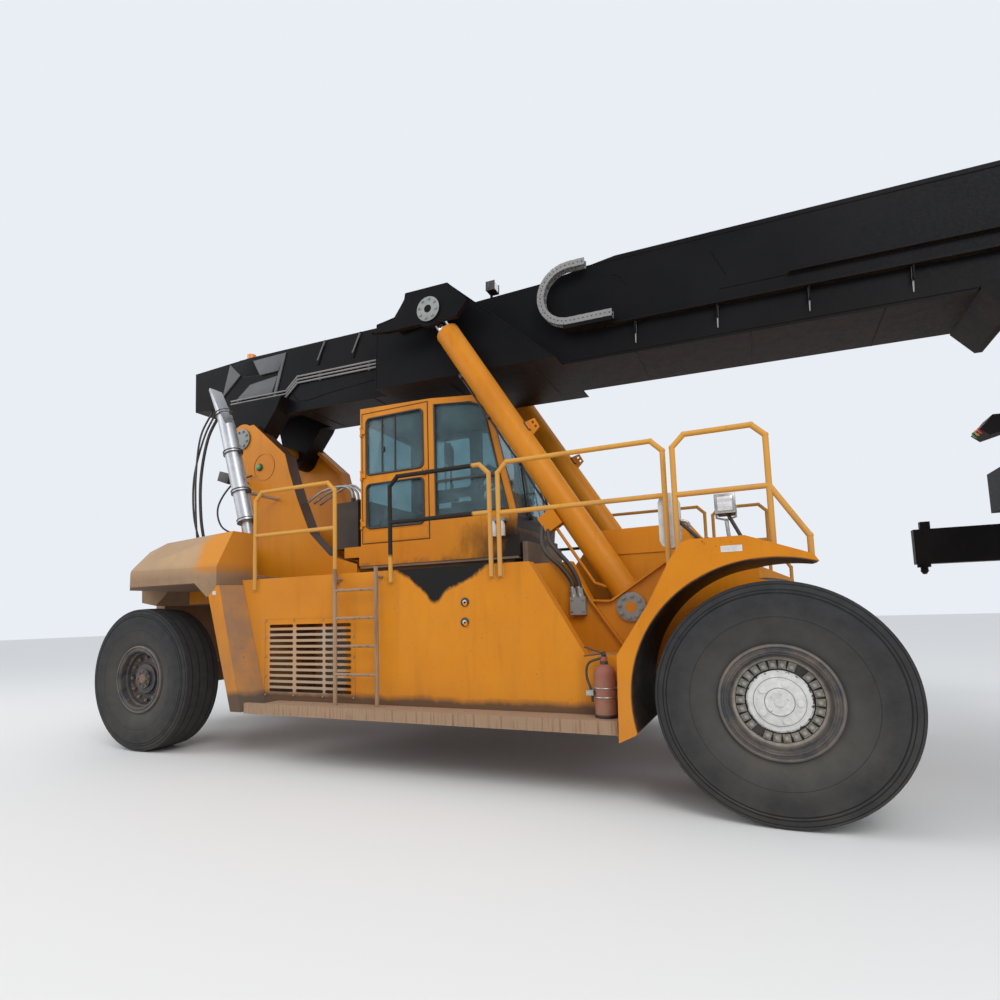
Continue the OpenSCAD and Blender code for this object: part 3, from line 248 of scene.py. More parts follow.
def ragged(n, mask, scale=5.0, low=0.35, high=0.62):
    """Breaks a mask up with noise."""
    g = n.noise(scale, 8, 0.7, stretch=(1, 1, 0.5), offset=(6, 3, 1))
    return n.ramp(n.add(mask, n.sub(g, 0.5)), low, high)


# %% Marks on the tanks
def tank_soot(n):
    """Soot over the tank's upper edge below the cab's front, with a drip."""
    x = n.abs(n.add(n.axis(0), 2.75 - OX))
    wide = n.math("EXPONENT", n.mul(n.math("POWER", n.math("DIVIDE", x, 0.45), 3.0), -1.0))
    x = n.abs(n.add(n.axis(0), 2.81 - OX))
    drip = n.math("EXPONENT", n.mul(n.math("POWER", n.math("DIVIDE", x, 0.11), 2.0), -1.0))
    edge = n.sub(1.985, n.add(n.mul(wide, 0.27), n.mul(drip, 0.13)))
    return ragged(n, n.ramp(n.sub(n.axis(2), edge), -0.06, 0.08), 7.0, 0.36, 0.64)


def tank_foot(n):
    """The dark band above the step: painted shadow on the tank's lower side, with dirt."""
    return n.mul(ragged(n, n.ramp(n.axis(2), 0.8, 0.66), 3.0, 0.35, 0.8), 0.85)


def tank_pillar(n):
    """Brown dust on the rear pillar's slanting front face and on the tank's rear end, darkened as painted
    shade where the pillar stands in shadow.
    """
    face = n.mul(n.ramp(n.facing(0), 0.3, 0.6), n.ramp(n.axis(0), OX - 4.7, OX - 4.8))
    low = n.mul(n.ramp(n.axis(0), OX - 4.6, OX - 5.3), n.ramp(n.axis(2), 1.7, 0.8, 0.0, 0.7))
    return n.mul(n.max(n.mul(face, 0.85), low), n.ramp(n.noise(3.0, 8, 0.7), 0.3, 0.6, 0.45, 1.0))


# %% Marks on the cab, its base and the rail
def cab_soot(n):
    """Black and rusty soot low on the cab and its base, towards the front."""
    m = n.mul(n.ramp(n.axis(0), OX - 3.5, OX - 2.5), n.ramp(n.axis(2), 2.72, 2.3))
    return ragged(n, m, 5.0, 0.3, 0.95)


def base_rust(n):
    """Rust along the foot of the cab's base."""
    m = n.ramp(n.axis(2), 2.36, 2.1, 0.0, 0.62)
    return ragged(n, m, 9.0, 0.55, 0.85)


def rail_dark(n):
    """Darker on the rail's upper part beside the cab."""
    m = n.mul(between(n, n.axis(0), OX - 3.35, OX - 2.42, 0.08), n.ramp(n.axis(2), 1.98, 2.12))
    return ragged(n, m, 5.0, 0.35, 0.6)


# %% Marks on the fender, tower and grille
def fender_arch(n):
    """Painted shade with dirt in the arch over the drive wheels, which lies in shadow."""
    near = n.ramp(radius_of(n, OX), 0.985, 0.975)
    return n.mul(near, n.ramp(n.noise(4.0, 8, 0.7), 0.25, 0.5, 0.75, 1.0))


def tower_edge(n):
    """Painted shade on the tower plates' front edges, which lie in shadow, stronger on the right-hand side.
    """
    m = n.mul(n.ramp(n.facing(0), 0.2, 0.35), n.ramp(n.axis(2), 2.0, 2.1))
    return n.mul(m, n.ramp(n.axis(1), 0.0, -0.1, 0.3, 0.95))


def grille_dust(n):
    """Pale dust caught on the grille's bars."""
    m = between(n, n.axis(0), OX - 4.8, OX - 3.86, 0.05)
    m = n.mul(m, between(n, n.axis(2), 0.74, 1.36, 0.06))
    return n.mul(m, n.ramp(n.noise(3.0, 8, 0.7), 0.25, 0.55, 0.55, 0.95))


# %% Marks in the cab, on the hood and on the step
def cab_inner(n):
    """The cab's dark lining."""
    m = n.ramp(n.abs(n.axis(1)), 0.622, 0.618)
    return n.mul(m, between(n, n.axis(2), 2.4, 3.97, 0.005))


def hood_front(n):
    """A painted highlight: the bright yellow band along the hood's front edge, where sunlight falls on its
    chamfer.
    """
    m = n.mul(n.ramp(n.axis(0), OX - 5.95, OX - 5.6), n.ramp(n.axis(2), 1.95, 2.05))
    return n.mul(ragged(n, m, 3.0, 0.3, 0.8), 0.85)


def hood_brown(n):
    """Brown along the hood's lower edge, its side face: dust, darkened as painted shade."""
    return n.mul(n.ramp(n.axis(2), 2.12, 1.96), n.ramp(n.noise(2.0, 8, 0.7), 0.3, 0.6, 0.45, 0.95))


def step_wear(n):
    """Upright scuffs along the step's edge."""
    g = n.noise(4.0, 4, 0.6, stretch=(9, 1, 0.4), offset=(3, 3, 3))
    return n.mul(n.ramp(g, 0.5, 0.7), n.ramp(n.facing(2), 0.5, 0.2, 0.0, 0.8))


# %% [markdown]
# ### Even finishes
# Chrome, rubber and plastic have no paint to wear. One noise makes them a little lighter and darker, rougher
# and smoother, and lifts the surface by a hair, which is enough to stop them looking like a computer's ideal.

# %% Even finishes
def plain(name, base, rough=0.5, metal=0.0, vary=0.15, scale=18.0, bump=0.08, dust=0.0):
    """An even finish with a little mottling, and dust where the surface looks up."""
    n = Nodes(name)
    g = n.noise(scale, 6, 0.65)
    dark = tuple(c * (1 - vary * 1.6) for c in base)
    light = tuple(min(1.0, c * (1 + vary)) for c in base)
    col = n.mix(n.ramp(g, 0.3, 0.7), dark, light)
    if dust:
        amount = n.mul(n.ramp(n.facing(2), -0.3, 0.9, 0.35, 1.0), dust)
        amount = n.mul(amount, n.ramp(n.noise(3.0, 8, 0.7, offset=(5, 1, 1)), 0.3, 0.65, 0.3, 1.0))
        col = n.mix(amount, col, DUST)
    spread = n.ramp(g, 0.3, 0.7, max(0.02, rough - 0.08), min(1.0, rough + 0.08))
    return n.finish(col, spread, metal, g, bump, 0.002)


# %% [markdown]
# ### Tyres, rims and hubs
# A tyre's side shows rings: mould lines at the shoulder, a browner band by the rim. The rings could be cut in
# the mesh, but they are a millimetre deep. Their distance from the axle is easy to work out in the shader, so
# the rings and the grooves of the tread are drawn there, and drive the bump as well as the colour, which
# darkens the lines and grooves as painted shade.

# %% Rubber
def ring(n, r, at, half):
    """1 where r is within half of at, so a circle on a wheel."""
    return n.ramp(n.abs(n.sub(r, at)), half, half * 0.45)


def tyre_rubber(name, cx):
    """Dusty rubber with a browner band near the rim; the mould lines at the shoulder and the grooves round
    the tread are sunk by the bump and darkened as painted shade.
    cx is the axle's X. The drive tyres are in pairs, 0.6 m apart, and the steer tyres single."""
    n = Nodes(name)
    r = radius_of(n, cx)
    g = n.noise(9.0, 8, 0.7)
    col = n.mix(n.ramp(g, 0.3, 0.7), (0.021, 0.021, 0.022), (0.036, 0.036, 0.037))
    band = n.ramp(r, 0.66, 0.44)
    band = n.mul(band, n.ramp(n.noise(2.2, 7, 0.65, offset=(2, 2, 2)), 0.3, 0.65, 0.3, 0.8))
    col = n.mix(n.mul(band, 0.75), col, (0.085, 0.077, 0.066))
    low = n.ramp(n.axis(2), 1.3, 0.1, 0.02, 0.18)
    amount = n.mul(low, n.ramp(n.noise(4.0, 8, 0.7, offset=(2, 2, 2)), 0.32, 0.62, 0.25, 1.0))
    col = n.mix(amount, col, (0.16, 0.135, 0.11))
    lines = n.max(ring(n, r, 0.733, 0.006), n.max(ring(n, r, 0.757, 0.005), ring(n, r, 0.795, 0.005)))
    lines = n.max(lines, n.mul(ring(n, r, 0.572, 0.004), 0.5))
    across = n.abs(n.axis(1))
    if cx > 0:
        t = n.abs(n.sub(n.math("PINGPONG", n.add(across, -0.93), 0.3), 0.3))
    else:
        t = n.abs(n.sub(across, STEER_Y))
    groove = n.max(ring(n, t, 0.055, 0.008), ring(n, t, 0.145, 0.008))
    groove = n.mul(groove, n.ramp(r, 0.805, 0.81))
    # Painted shade: the mould lines and the tread's grooves are darkened as well as sunk
    dark = n.max(lines, groove)
    col = n.mix(n.mul(dark, 0.85), col, (0.008, 0.008, 0.008))
    height = n.sub(n.mul(n.noise(55.0, 3, 0.6), 0.12), dark)
    n.put(n.bsdf.inputs["Specular IOR Level"], 0.2)
    return n.finish(col, 0.8, 0.0, height, 0.35, 0.006)


# %% Rims and hubs
def rim_paint(name, cx, light_y):
    """Dark rim with light flange edges; what stands proud of light_y are the clamps, in dusty grey."""
    n = Nodes(name)
    r = radius_of(n, cx)
    g = n.noise(22.0, 8, 0.7)
    col = n.mix(n.ramp(g, 0.3, 0.7), (0.018, 0.019, 0.023), (0.05, 0.05, 0.052))
    col = n.mix(n.mul(ring(n, r, 0.385, 0.016), 0.6), col, (0.13, 0.12, 0.11))
    proud = n.mul(n.ramp(n.abs(n.axis(1)), light_y, light_y + 0.004), n.ramp(r, 0.31, 0.29))
    clamp = n.mix(n.ramp(g, 0.4, 0.65), (0.17, 0.155, 0.125), (0.3, 0.28, 0.24))
    col = n.mix(n.mul(proud, 0.9), col, clamp)
    dust = n.mul(n.ramp(n.noise(6.0, 8, 0.7, offset=(1, 4, 2)), 0.4, 0.7), 0.3)
    return n.finish(n.mix(dust, col, DUST), n.ramp(g, 0.3, 0.7, 0.42, 0.65), 0.0, g, 0.12, 0.002)


def hub_paint(name, cx):
    """White hub paint with dirt, chipped away along its edge."""
    n = Nodes(name)
    r = radius_of(n, cx)
    col = n.mix(n.ramp(n.noise(14.0, 8, 0.7), 0.35, 0.7), (0.62, 0.61, 0.58), (0.44, 0.43, 0.41))
    chips = n.add(n.noise(26.0, 6, 0.7, offset=(3, 3, 3)), n.ramp(r, 0.17, 0.212, -0.18, 0.13))
    col = n.mix(n.ramp(chips, 0.6, 0.63), col, (0.035, 0.033, 0.033))
    specks = n.ramp(n.noise(48.0, 3, 0.6, offset=(5, 1, 1)), 0.7, 0.73)
    col = n.mix(specks, col, (0.06, 0.05, 0.04))
    lines = n.max(ring(n, r, 0.163, 0.003), ring(n, r, 0.0925, 0.004))
    col = n.mix(n.mul(lines, 0.75), col, (0.1, 0.095, 0.09))
    return n.finish(col, 0.55, 0.0, n.noise(60.0, 4, 0.6), 0.1, 0.002)


# %% [markdown]
# ### Glass
# The cab's panes are dusty and tinted green-blue, and the tint also stands in as painted reflection. Glass in
# Blender is transmission: where the haze is thick, less of it gets through, so one mask drives both the
# colour and the transmission.

# %% Glass
def window_glass(name, tint, dirt):
    """Tinted glass, less clear where it is dirty."""
    n = Nodes(name)
    haze = n.ramp(n.noise(2.0, 8, 0.7), 0.35, 0.75, 0.0, dirt)
    mat = n.finish(n.mix(haze, tint, (0.5, 0.44, 0.36)), 0.02)
    n.put(n.bsdf.inputs["Transmission Weight"], n.sub(0.92, n.mul(haze, 1.6)))
    n.put(n.bsdf.inputs["IOR"], 1.25)
    return mat


# %% [markdown]
# ### The palette
# The machine wears one yellow, one black and a few greys, but dirt differs from place to place. So a finish
# is made for each kind of place from the same few colours, with its own dust, rust and marks.

# %% Painted finishes
YELLOW = (0.6, 0.212, 0.004)
DEEP = (0.5, 0.162, 0.004)
BLACK = (0.0045, 0.0045, 0.0052)
WEAR = {"dust": 0.22, "rust": 0.7, "top_dust": 0.35}
PAINTS = (
    worn_paint("yellow", YELLOW, DEEP, **WEAR),
    # Painted shade with dirt fills the fender's arch
    worn_paint("fender", YELLOW, DEEP, **WEAR, marks=((fender_arch, (0.02, 0.016, 0.013)),)),
    # Painted shade darkens the tower plates' front edges
    worn_paint("tower", YELLOW, DEEP, **WEAR, marks=((tower_edge, (0.035, 0.02, 0.016)),)),
    worn_paint("tank", YELLOW, DEEP, dust=0.22, low_z=1.2, rust=0.8, top_dust=0.35,
        # tank_pillar is brown dust darkened as painted shade on the shaded pillar
        marks=((tank_pillar, (0.2, 0.115, 0.065)), (grille_dust, (0.36, 0.29, 0.21)),
            # tank_foot is painted shadow on the tank's lower side, with dirt
            (tank_foot, (0.05, 0.042, 0.036)), (tank_soot, (0.007, 0.006, 0.005)))),
    worn_paint("cab", YELLOW, DEEP, dust=0.2, low_z=2.4, rust=0.8,
        marks=((base_rust, (0.16, 0.075, 0.02)), (cab_soot, (0.016, 0.01, 0.007)),
            (cab_inner, (0.02, 0.02, 0.022)))),
    worn_paint("boom_black", BLACK, (0.008, 0.008, 0.0088), rough=0.45, dust=0.02, low_z=4.4, rust=0.15,
        top_dust=0.08, streak=0.0, under=(0.03, 0.017, 0.01), spec=0.06),
    # panel is a pale grey, painted highlight for sunlit faces of the black boom's rear plates
    worn_paint("panel", (0.12, 0.123, 0.128), (0.07, 0.072, 0.076), rough=0.45, dust=0.15, low_z=4.4,
        rust=0.2, top_dust=0.2, streak=0.1),
    worn_paint("frame_black", (0.022, 0.021, 0.02), (0.045, 0.04, 0.035), rough=0.6, dust=0.6,
        low_z=2.2, rust=0.4, top_dust=0.5, under=(0.07, 0.045, 0.03)),
    worn_paint("dusty", (0.27, 0.165, 0.1), (0.36, 0.23, 0.145), rough=0.75, dust=0.75, low_z=2.6,
        rust=0.8, top_dust=0.7, marks=((step_wear, (0.12, 0.07, 0.045)),)),
    worn_paint("rail", (0.62, 0.29, 0.035), (0.5, 0.25, 0.06), rough=0.55, dust=0.3, low_z=2.6, rust=0.8,
        # The rail's upper part beside the cab is made darker
        top_dust=0.35, marks=((rail_dark, (0.016, 0.012, 0.01)),)),
    worn_paint("hood", (0.5, 0.315, 0.155), (0.4, 0.265, 0.155), rough=0.6, dust=0.45, low_z=2.9,
        # The hood's under colour is painted shade on its down-looking faces
        rust=0.6, top_dust=0.55, under=(0.12, 0.065, 0.035),
        # hood_front is a painted highlight on the hood's front edge; hood_brown is dust with painted shade on
        # its side
        marks=((hood_front, YELLOW), (hood_brown, (0.22, 0.135, 0.08)))),
    worn_paint("red", (0.25, 0.05, 0.04), (0.24, 0.11, 0.09), dust=0.6, low_z=1.8, rust=0.2),
    worn_paint("grey", (0.19, 0.19, 0.19), (0.27, 0.26, 0.25), rough=0.5, dust=0.35, low_z=2.4, rust=0.5),
    worn_paint("steel", (0.22, 0.24, 0.235), (0.3, 0.31, 0.29), rough=0.45, dust=0.25, low_z=2.0, rust=0.7),
    worn_paint("deck", (0.1, 0.085, 0.07), (0.2, 0.15, 0.11), rough=0.8, dust=0.6, low_z=3.0, rust=1.0),
    tyre_rubber("tyre_front", OX),
    tyre_rubber("tyre_rear", OX - WHEELBASE),
    rim_paint("rim_front", OX, 1.9405),
    rim_paint("rim_rear", OX - WHEELBASE, 2.5),
    hub_paint("hub", OX),
    # The glass's green-blue tint is partly painted reflection
    window_glass("glass", (0.3, 0.46, 0.5), 0.1),
)
# %% Bare metals, rubber, plastic and lamps
# Even finishes: colour, roughness, metal, mottling and its scale, bump and dust
PLAIN = {
    "silver": ((0.46, 0.47, 0.49), 0.38, 0.65, 0.14, 7.0, 0.1, 0.12),
    "chrome": ((0.66, 0.66, 0.68), 0.16, 1.0, 0.06, 12.0, 0.02, 0.05),
    "rubber": ((0.012, 0.012, 0.013), 0.55, 0.0, 0.3, 25.0, 0.1, 0.18),
    "plastic": ((0.022, 0.022, 0.023), 0.5, 0.0, 0.2, 40.0, 0.1, 0.2),
    "fabric": ((0.022, 0.023, 0.028), 0.9, 0.0, 0.3, 160.0, 0.3, 0.1),
    "pale": ((0.6, 0.6, 0.58), 0.5, 0.0, 0.12, 12.0, 0.06, 0.3),
    "lamp": ((0.75, 0.77, 0.78), 0.15, 0.3, 0.1, 30.0, 0.05, 0.1),
    "amber": ((0.8, 0.24, 0.02), 0.25, 0.0, 0.1, 30.0, 0.05, 0.1),
    "signal_red": ((0.5, 0.02, 0.015), 0.25, 0.0, 0.1, 30.0, 0.05, 0.1),
    "signal_green": ((0.02, 0.28, 0.08), 0.25, 0.0, 0.1, 30.0, 0.05, 0.1),
    "zinc": ((0.42, 0.42, 0.4), 0.4, 0.8, 0.25, 30.0, 0.1, 0.2),
}
MAT = {material.name: material for material in PAINTS}
MAT.update((name, plain(name, *row)) for name, row in PLAIN.items())
# %% [markdown]
# ### Painting the solids
# The CAD nodes come without a look. A table from finish to nodes is easier to read and to change than a line
# of code for each of the 53 nodes.

# %% Which solid wears what
# Which nodes wear which look; * stands for both sides
LOOKS = {
    "yellow": "chassis_frame front_frame lift_barrel_*", "tower": "boom_tower", "fender": "front_fender_*",
    "tank": "tank_*", "hood": "rear_hood", "dusty": "step_*", "rail": "handrails_*", "deck": "deck",
    "cab": "cab_shell cab_front cab_door", "glass": "cab_glass door_glass", "fabric": "cab_seat",
    "plastic": "cab_console lamps_mirrors", "silver": "exhaust_stack", "red": "fire_extinguisher",
    "steel": "lift_hoses", "chrome": "lift_rod_*", "grey": "engine_block boom_pipes cable_chain",
    "frame_black": "valve_block drive_axle steer_axle steer_knuckle_*",
    "tyre_front": "drive_tyres_*", "rim_front": "drive_rims_*", "hub": "drive_hub_*",
    "tyre_rear": "steer_tyre_*", "rim_rear": "steer_rim_*",
    "boom_black": "boom_outer boom_inner spreader_head spreader_carriage spreader_beam spreader_arm_*",
}


def paint_node(name, material):
    obj = NODES[name]
    for s in obj.material_slots:
        s.material = material
    if not obj.material_slots:
        obj.data.materials.append(material)


for look, names in LOOKS.items():
    for name in names.split():
        for side in ("right", "left") if "*" in name else ("",):
            paint_node(name.replace("*", side), MAT[look])
print(len(MAT), "materials")

# %% [markdown]
# ## Mesh helpers
# A place on a real machine is measured from something that can be touched. P gives places from the drive
# axle. B gives them from the boom's pivot along the sloping boom, so its fittings are written as if it lay
# level.

# %% Places, directions and circles
DIP = math.radians(1.8)  # the parked boom's slope
AHEAD, LEFT, UP = Vector((1, 0, 0)), Vector((0, 1, 0)), Vector((0, 0, 1))
SIDES = (("right", -1), ("left", 1))


def P(x, y, z):
    return Vector((x + OX, y, z))


def B(x, y, z):
    c, d = math.cos(DIP), math.sin(DIP)
    return P(PIVOT_X + x * c + z * d, y, PIVOT_Z - x * d + z * c)


def circle(centre, u, v, r, count):
    """Points on a circle in the plane of u and v."""
    angles = [k * math.tau / count for k in range(count)]
    return [centre + r * (math.cos(a) * u + math.sin(a) * v) for a in angles]


# %% [markdown]
# ### Building one piece
# Small fittings are boxes, bent bars, turned parts and plates. The editor has modifiers and curves for these,
# but dozens of them make a slow file. bmesh's own operators build them in one mesh for each piece: a cube is
# stretched, an outline extruded, a profile spun, and rings are bridged along a line. Material numbers keep
# the pieces' parts apart.

# %% From a bmesh to an object
def make_object(name, bm, mats, body):
    """Turns the faces into an object that rides on a body."""
    mesh = bpy.data.meshes.new(name)
    bm.to_mesh(mesh)
    bm.free()
    obj = bpy.data.objects.new(name, mesh)
    bpy.context.scene.collection.objects.link(obj)
    for m in mats:
        mesh.materials.append(MAT[m])
    if body:
        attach(obj, body)
    print(name, len(mesh.polygons), "faces")
    return obj


# %% Boxes, plates, bars and turned parts
class Shape:
    """Gathers the parts of one piece in a bmesh."""

    def __init__(self):
        self.bm = bmesh.new()

    def paint(self, verts, mat):
        """Gives the faces round these vertices a material number."""
        for v in verts:
            for f in v.link_faces:
                f.material_index = mat

    def extrude(self, low, high, mat=0):
        """Extrudes one outline to another, corner by corner; returns the face below."""
        ring = [self.bm.verts.new(p) for p in low]
        foot = self.bm.faces.new(ring)
        made = bmesh.ops.extrude_face_region(self.bm, geom=[foot])["geom"]
        raised = [v for v in made if isinstance(v, bmesh.types.BMVert)]
        for v in raised:
            below = next(e.other_vert(v) for e in v.link_edges if e.other_vert(v) in ring)
            v.co = high[ring.index(below)]
        self.paint(ring + raised, mat)
        return foot

    def cap(self, low, high, mat=0):
        """A raised plate, open below."""
        self.bm.faces.remove(self.extrude(low, high, mat))

    def box(self, lo, hi, at=P, mat=0, turn=None):
        """A cube stretched between two corners and turned about its middle."""
        lo, hi = Vector(lo), Vector(hi)
        verts = bmesh.ops.create_cube(self.bm, size=1)["verts"]
        for v in verts:
            corner = v.co * (hi - lo)
            if turn:
                corner = turn @ corner
            v.co = at(*(corner + (lo + hi) / 2))
        self.paint(verts, mat)

    def prism(self, outline, y0, y1, at=P, mat=0, tip=None):
        """An outline in X and Z from y0 to y1; tip replaces y1 point by point."""
        ends = tip or [y1] * len(outline)
        self.extrude([at(x, y0, z) for x, z in outline],
                     [at(x, end, z) for (x, z), end in zip(outline, ends)], mat)

    def tube(self, pts, r, seg=10, mat=0, closed=False):
        """A round bar along points, as circles bridged in turn; r is one radius or one for each point."""
        pts = [Vector(p) for p in pts]
        n = len(pts)
        rs = r if isinstance(r, (list, tuple)) else [r] * n
        rings, u = [], None
        for i in range(n):
            before = pts[(i - 1) % n] if closed else pts[max(i - 1, 0)]
            after = pts[(i + 1) % n] if closed else pts[min(i + 1, n - 1)]
            way = (after - before).normalized()
            u = u or way.orthogonal()
            u = (u - way * u.dot(way)).normalized()  # so the circles don't twist along the bar
            place = Matrix((u.cross(way), u, way)).transposed().to_4x4()
            place.translation = pts[i]
            ring = bmesh.ops.create_circle(self.bm, segments=seg, radius=rs[i], matrix=place)["verts"]
            rings.append(list(dict.fromkeys(e for v in ring for e in v.link_edges)))
        for a, b in zip(rings, rings[1:] + (rings[:1] if closed else [])):
            bmesh.ops.bridge_loops(self.bm, edges=a + b)
        if not closed:
            for end in (rings[0], rings[-1]):
                bmesh.ops.edgeloop_fill(self.bm, edges=end)
        self.paint([v for ring in rings for e in ring for v in e.verts], mat)

    def lathe(self, at, axis, profile, seg=16, mat=0):
        """Radius and height pairs spun about an axis that starts at a point, and closed at both ends."""
        at, axis = Vector(at), Vector(axis).normalized()
        out = axis.orthogonal().normalized()
        old_edges, old_faces = set(self.bm.edges), set(self.bm.faces)
        line = [self.bm.verts.new(at + axis * h + out * max(r, 0.0006)) for r, h in profile]
        edges = [self.bm.edges.new(pair) for pair in zip(line, line[1:])]
        bmesh.ops.spin(self.bm, geom=line + edges, cent=at, axis=axis, angle=math.tau, steps=seg,
                       use_merge=True)
        rims = [e for e in self.bm.edges if e.is_boundary and e not in old_edges]
        bmesh.ops.edgeloop_fill(self.bm, edges=rims)
        for f in self.bm.faces:
            if f not in old_faces:
                f.material_index = mat

    def hexbolt(self, at, axis, r=0.014, mat=0):
        """A washer and a six-sided head."""
        axis = Vector(axis).normalized()
        at = Vector(at)
        self.tube([at - axis * 0.001, at + axis * 0.003], r * 1.35, 12, mat)
        self.tube([at + axis * 0.003, at + axis * (0.003 + r * 0.75), at + axis * (0.003 + r * 0.85)],
                  [r, r, r * 0.85], 6, mat)

    def bolt_circle(self, centre, s, radius, count, r, start=0, at=P, skip=()):
        """Bolts round a centre on a face that looks along s times Y; start is counted from the top."""
        x, y, z = centre
        for i in range(count):
            if i not in skip:
                a = math.radians(start + i * 360 / count)
                self.hexbolt(at(x + radius * math.sin(a), y, z + radius * math.cos(a)), (0, s, 0), r)

    def save(self, name, mats, body="chassis", bevel=0.0, smooth=0.6, slot="dark_plastic"):
        """Makes the object; bevel rounds edges over 0.9 rad, and shading breaks at angles over smooth."""
        bmesh.ops.recalc_face_normals(self.bm, faces=self.bm.faces)
        if bevel:
            edges = [e for e in self.bm.edges if len(e.link_faces) == 2 and e.calc_face_angle(0) > 0.9]
            # Material 0 gives the rounded edges the first finish, such as the dark rim round a lamp's lens
            bmesh.ops.bevel(self.bm, geom=edges, offset=bevel, segments=2, profile=0.5, material=0,
                            affect="EDGES", clamp_overlap=True)
        for f in self.bm.faces:
            f.smooth = True
        for e in self.bm.edges:
            if len(e.link_faces) == 2 and e.calc_face_angle(0) > smooth:
                e.smooth = False
        return make_object(name, self.bm, mats.split(), body)


# %% [markdown]
# ### Lines for hoses and loops
# A hose needs only a few given points. A Catmull-Rom curve goes through all of them, unlike a NURBS
# curve, which only leans towards them, and evenly spaced points keep its ribs regular.

# %% Curves and loops
def curve_through(points, steps):
    """A smooth line through a few points."""
    pts = [Vector(p) for p in points]
    pts = [2 * pts[0] - pts[1]] + pts + [2 * pts[-1] - pts[-2]]
    out = []
    for i in range(1, len(pts) - 2):
        a, b, c, d = pts[i - 1:i + 3]
        for k in range(steps):
            t = k / steps
            out.append(0.5 * ((2 * b) + (c - a) * t + (2 * a - 5 * b + 4 * c - d) * t * t +
                              (3 * b - a - 3 * c + d) * t * t * t))
    return out + [pts[-2]]


def even(points, step):
    """The same line with points a fixed distance apart."""
    out, rest = [points[0]], 0.0
    for a, b in zip(points, points[1:]):
        length = (b - a).length
        t = step - rest
        while t <= length:
            out.append(a.lerp(b, t / length))
            t += step
        rest = length - (t - step)
    return out


def round_loop(x0, z0, x1, z1, r, y, at=P, steps=5):
    """A rectangle's outline with round corners, upright and facing along Y."""
    out = []
    x0, z0, x1, z1 = x0 + r, z0 + r, x1 - r, z1 - r
    for cx, cz, a0 in ((x1, z1, 0), (x0, z1, 90), (x0, z0, 180), (x1, z0, 270)):
        for k in range(steps + 1):
            a = math.radians(a0 + 90 * k / steps)
            out.append(at(cx + r * math.cos(a), y, cz + r * math.sin(a)))
    return out


print("helpers ready")

# %% [markdown]
# ## Wheels
# A drive rim is held by a ring of clamps with a nut on each, and a steer rim by studs round its hub. They
# could come from an array modifier. A loop over angles does the same in one mesh and can leave two places
# free, as the real ring does. Valves and the mould's split marks on the shoulders are short bent bars.

# %% Nuts, valves and split marks
for side, s in SIDES:
    nuts = Shape()
    # The clamps' ring has 26 places, and two opposite ones stay free
    nuts.bolt_circle((0, s * 1.988, AXLE_Z), s, 0.245, 26, 0.0125, start=35, skip=(0, 13))
    for a in (35, 215):
        a = math.radians(a)
        u = Vector((math.cos(a), 0, math.sin(a)))
        split = ((2.053, 0.745), (2.041, 0.775), (2.022, 0.8))
        nuts.tube([P(0, s * y, AXLE_Z) + u * r for y, r in split], 0.006, 6, 1)
    valve = ((0.07, 1.945, 0.29), (0.075, 1.99, 0.31), (0.085, 2.0, 0.345))
    nuts.tube(curve_through([P(x, s * y, AXLE_Z + z) for x, y, z in valve], 6), 0.007, 8, 2)
    nuts.save(f"drive_nuts_{side}", "steel rubber zinc", f"drive_wheel_{side}", slot="grey_metal")
    nuts = Shape()
    nuts.bolt_circle((-WHEELBASE, s * (STEER_Y + 0.116), AXLE_Z), s, 0.25, 12, 0.015)
    nuts.bolt_circle((-WHEELBASE, s * (STEER_Y + 0.166), AXLE_Z), s, 0.085, 8, 0.008)
    nuts.lathe(P(-WHEELBASE, s * (STEER_Y + 0.157), AXLE_Z), (0, s, 0),
               [(0.055, 0), (0.055, 0.012), (0.045, 0.02), (0, 0.022)], 24)
    nuts.save(f"steer_nuts_{side}", "frame_black", f"steer_wheel_{side}", slot="dusty_paint")
print("wheels dressed")

# %% [markdown]
# ## Cab
# Each pane sits in a rubber gasket, and the upper side pane has two sliders. A gasket is a closed bar round
# the pane's outline, which shows its round section at the corners, where a bevelled edge of the glass would
# not.

# %% Window openings and gaskets
GLASS_Y = 0.652  # outer faces of the side glass
PANES = ((2.54, 3.08), (3.2, 3.905))
SIDE_WINDOW = ((-3.395, 2.61), (-2.5, 2.61), (-2.77, 3.8), (-2.93, 3.87), (-3.395, 3.925))


def gasket(shape, loop, r=0.013):
    """A round rubber bead along a closed outline."""
    shape.tube(loop, r, 8, 0, closed=True)


def window_set(shape, s):
    """Gaskets of the two panes beside the seat, and the two sliders in the upper one."""
    for z0, z1 in PANES:
        gasket(shape, round_loop(-4.36, z0, -3.555, z1, 0.055, s * GLASS_Y))
    y0, y1 = sorted((s * 0.64, s * 0.622))
    for x in (-4.14, -3.955):
        shape.box((x - 0.009, y0, 3.215), (x + 0.009, y1, 3.89))


# %% Door
door = Shape()
window_set(door, -1)
door.box((-4.13, -GLASS_Y, 3.47), (-4.105, -0.622, 3.53))
leaf = ((-4.424, 2.362), (-4.424, 3.978), (-3.487, 3.978), (-3.487, 2.362))
gasket(door, [P(x, -0.6515, z) for x, z in leaf], 0.0055)
# Handle and lock
door.box((-3.56, -0.668, 3.105), (-3.52, -0.648, 3.175))
door.lathe(P(-3.527, -0.655, 3.14), (0, -1, 0), [(0.016, 0), (0.016, 0.012), (0, 0.014)], 14)
door.save("door_gaskets", "rubber", "cab_door_leaf", slot="hose_rubber")

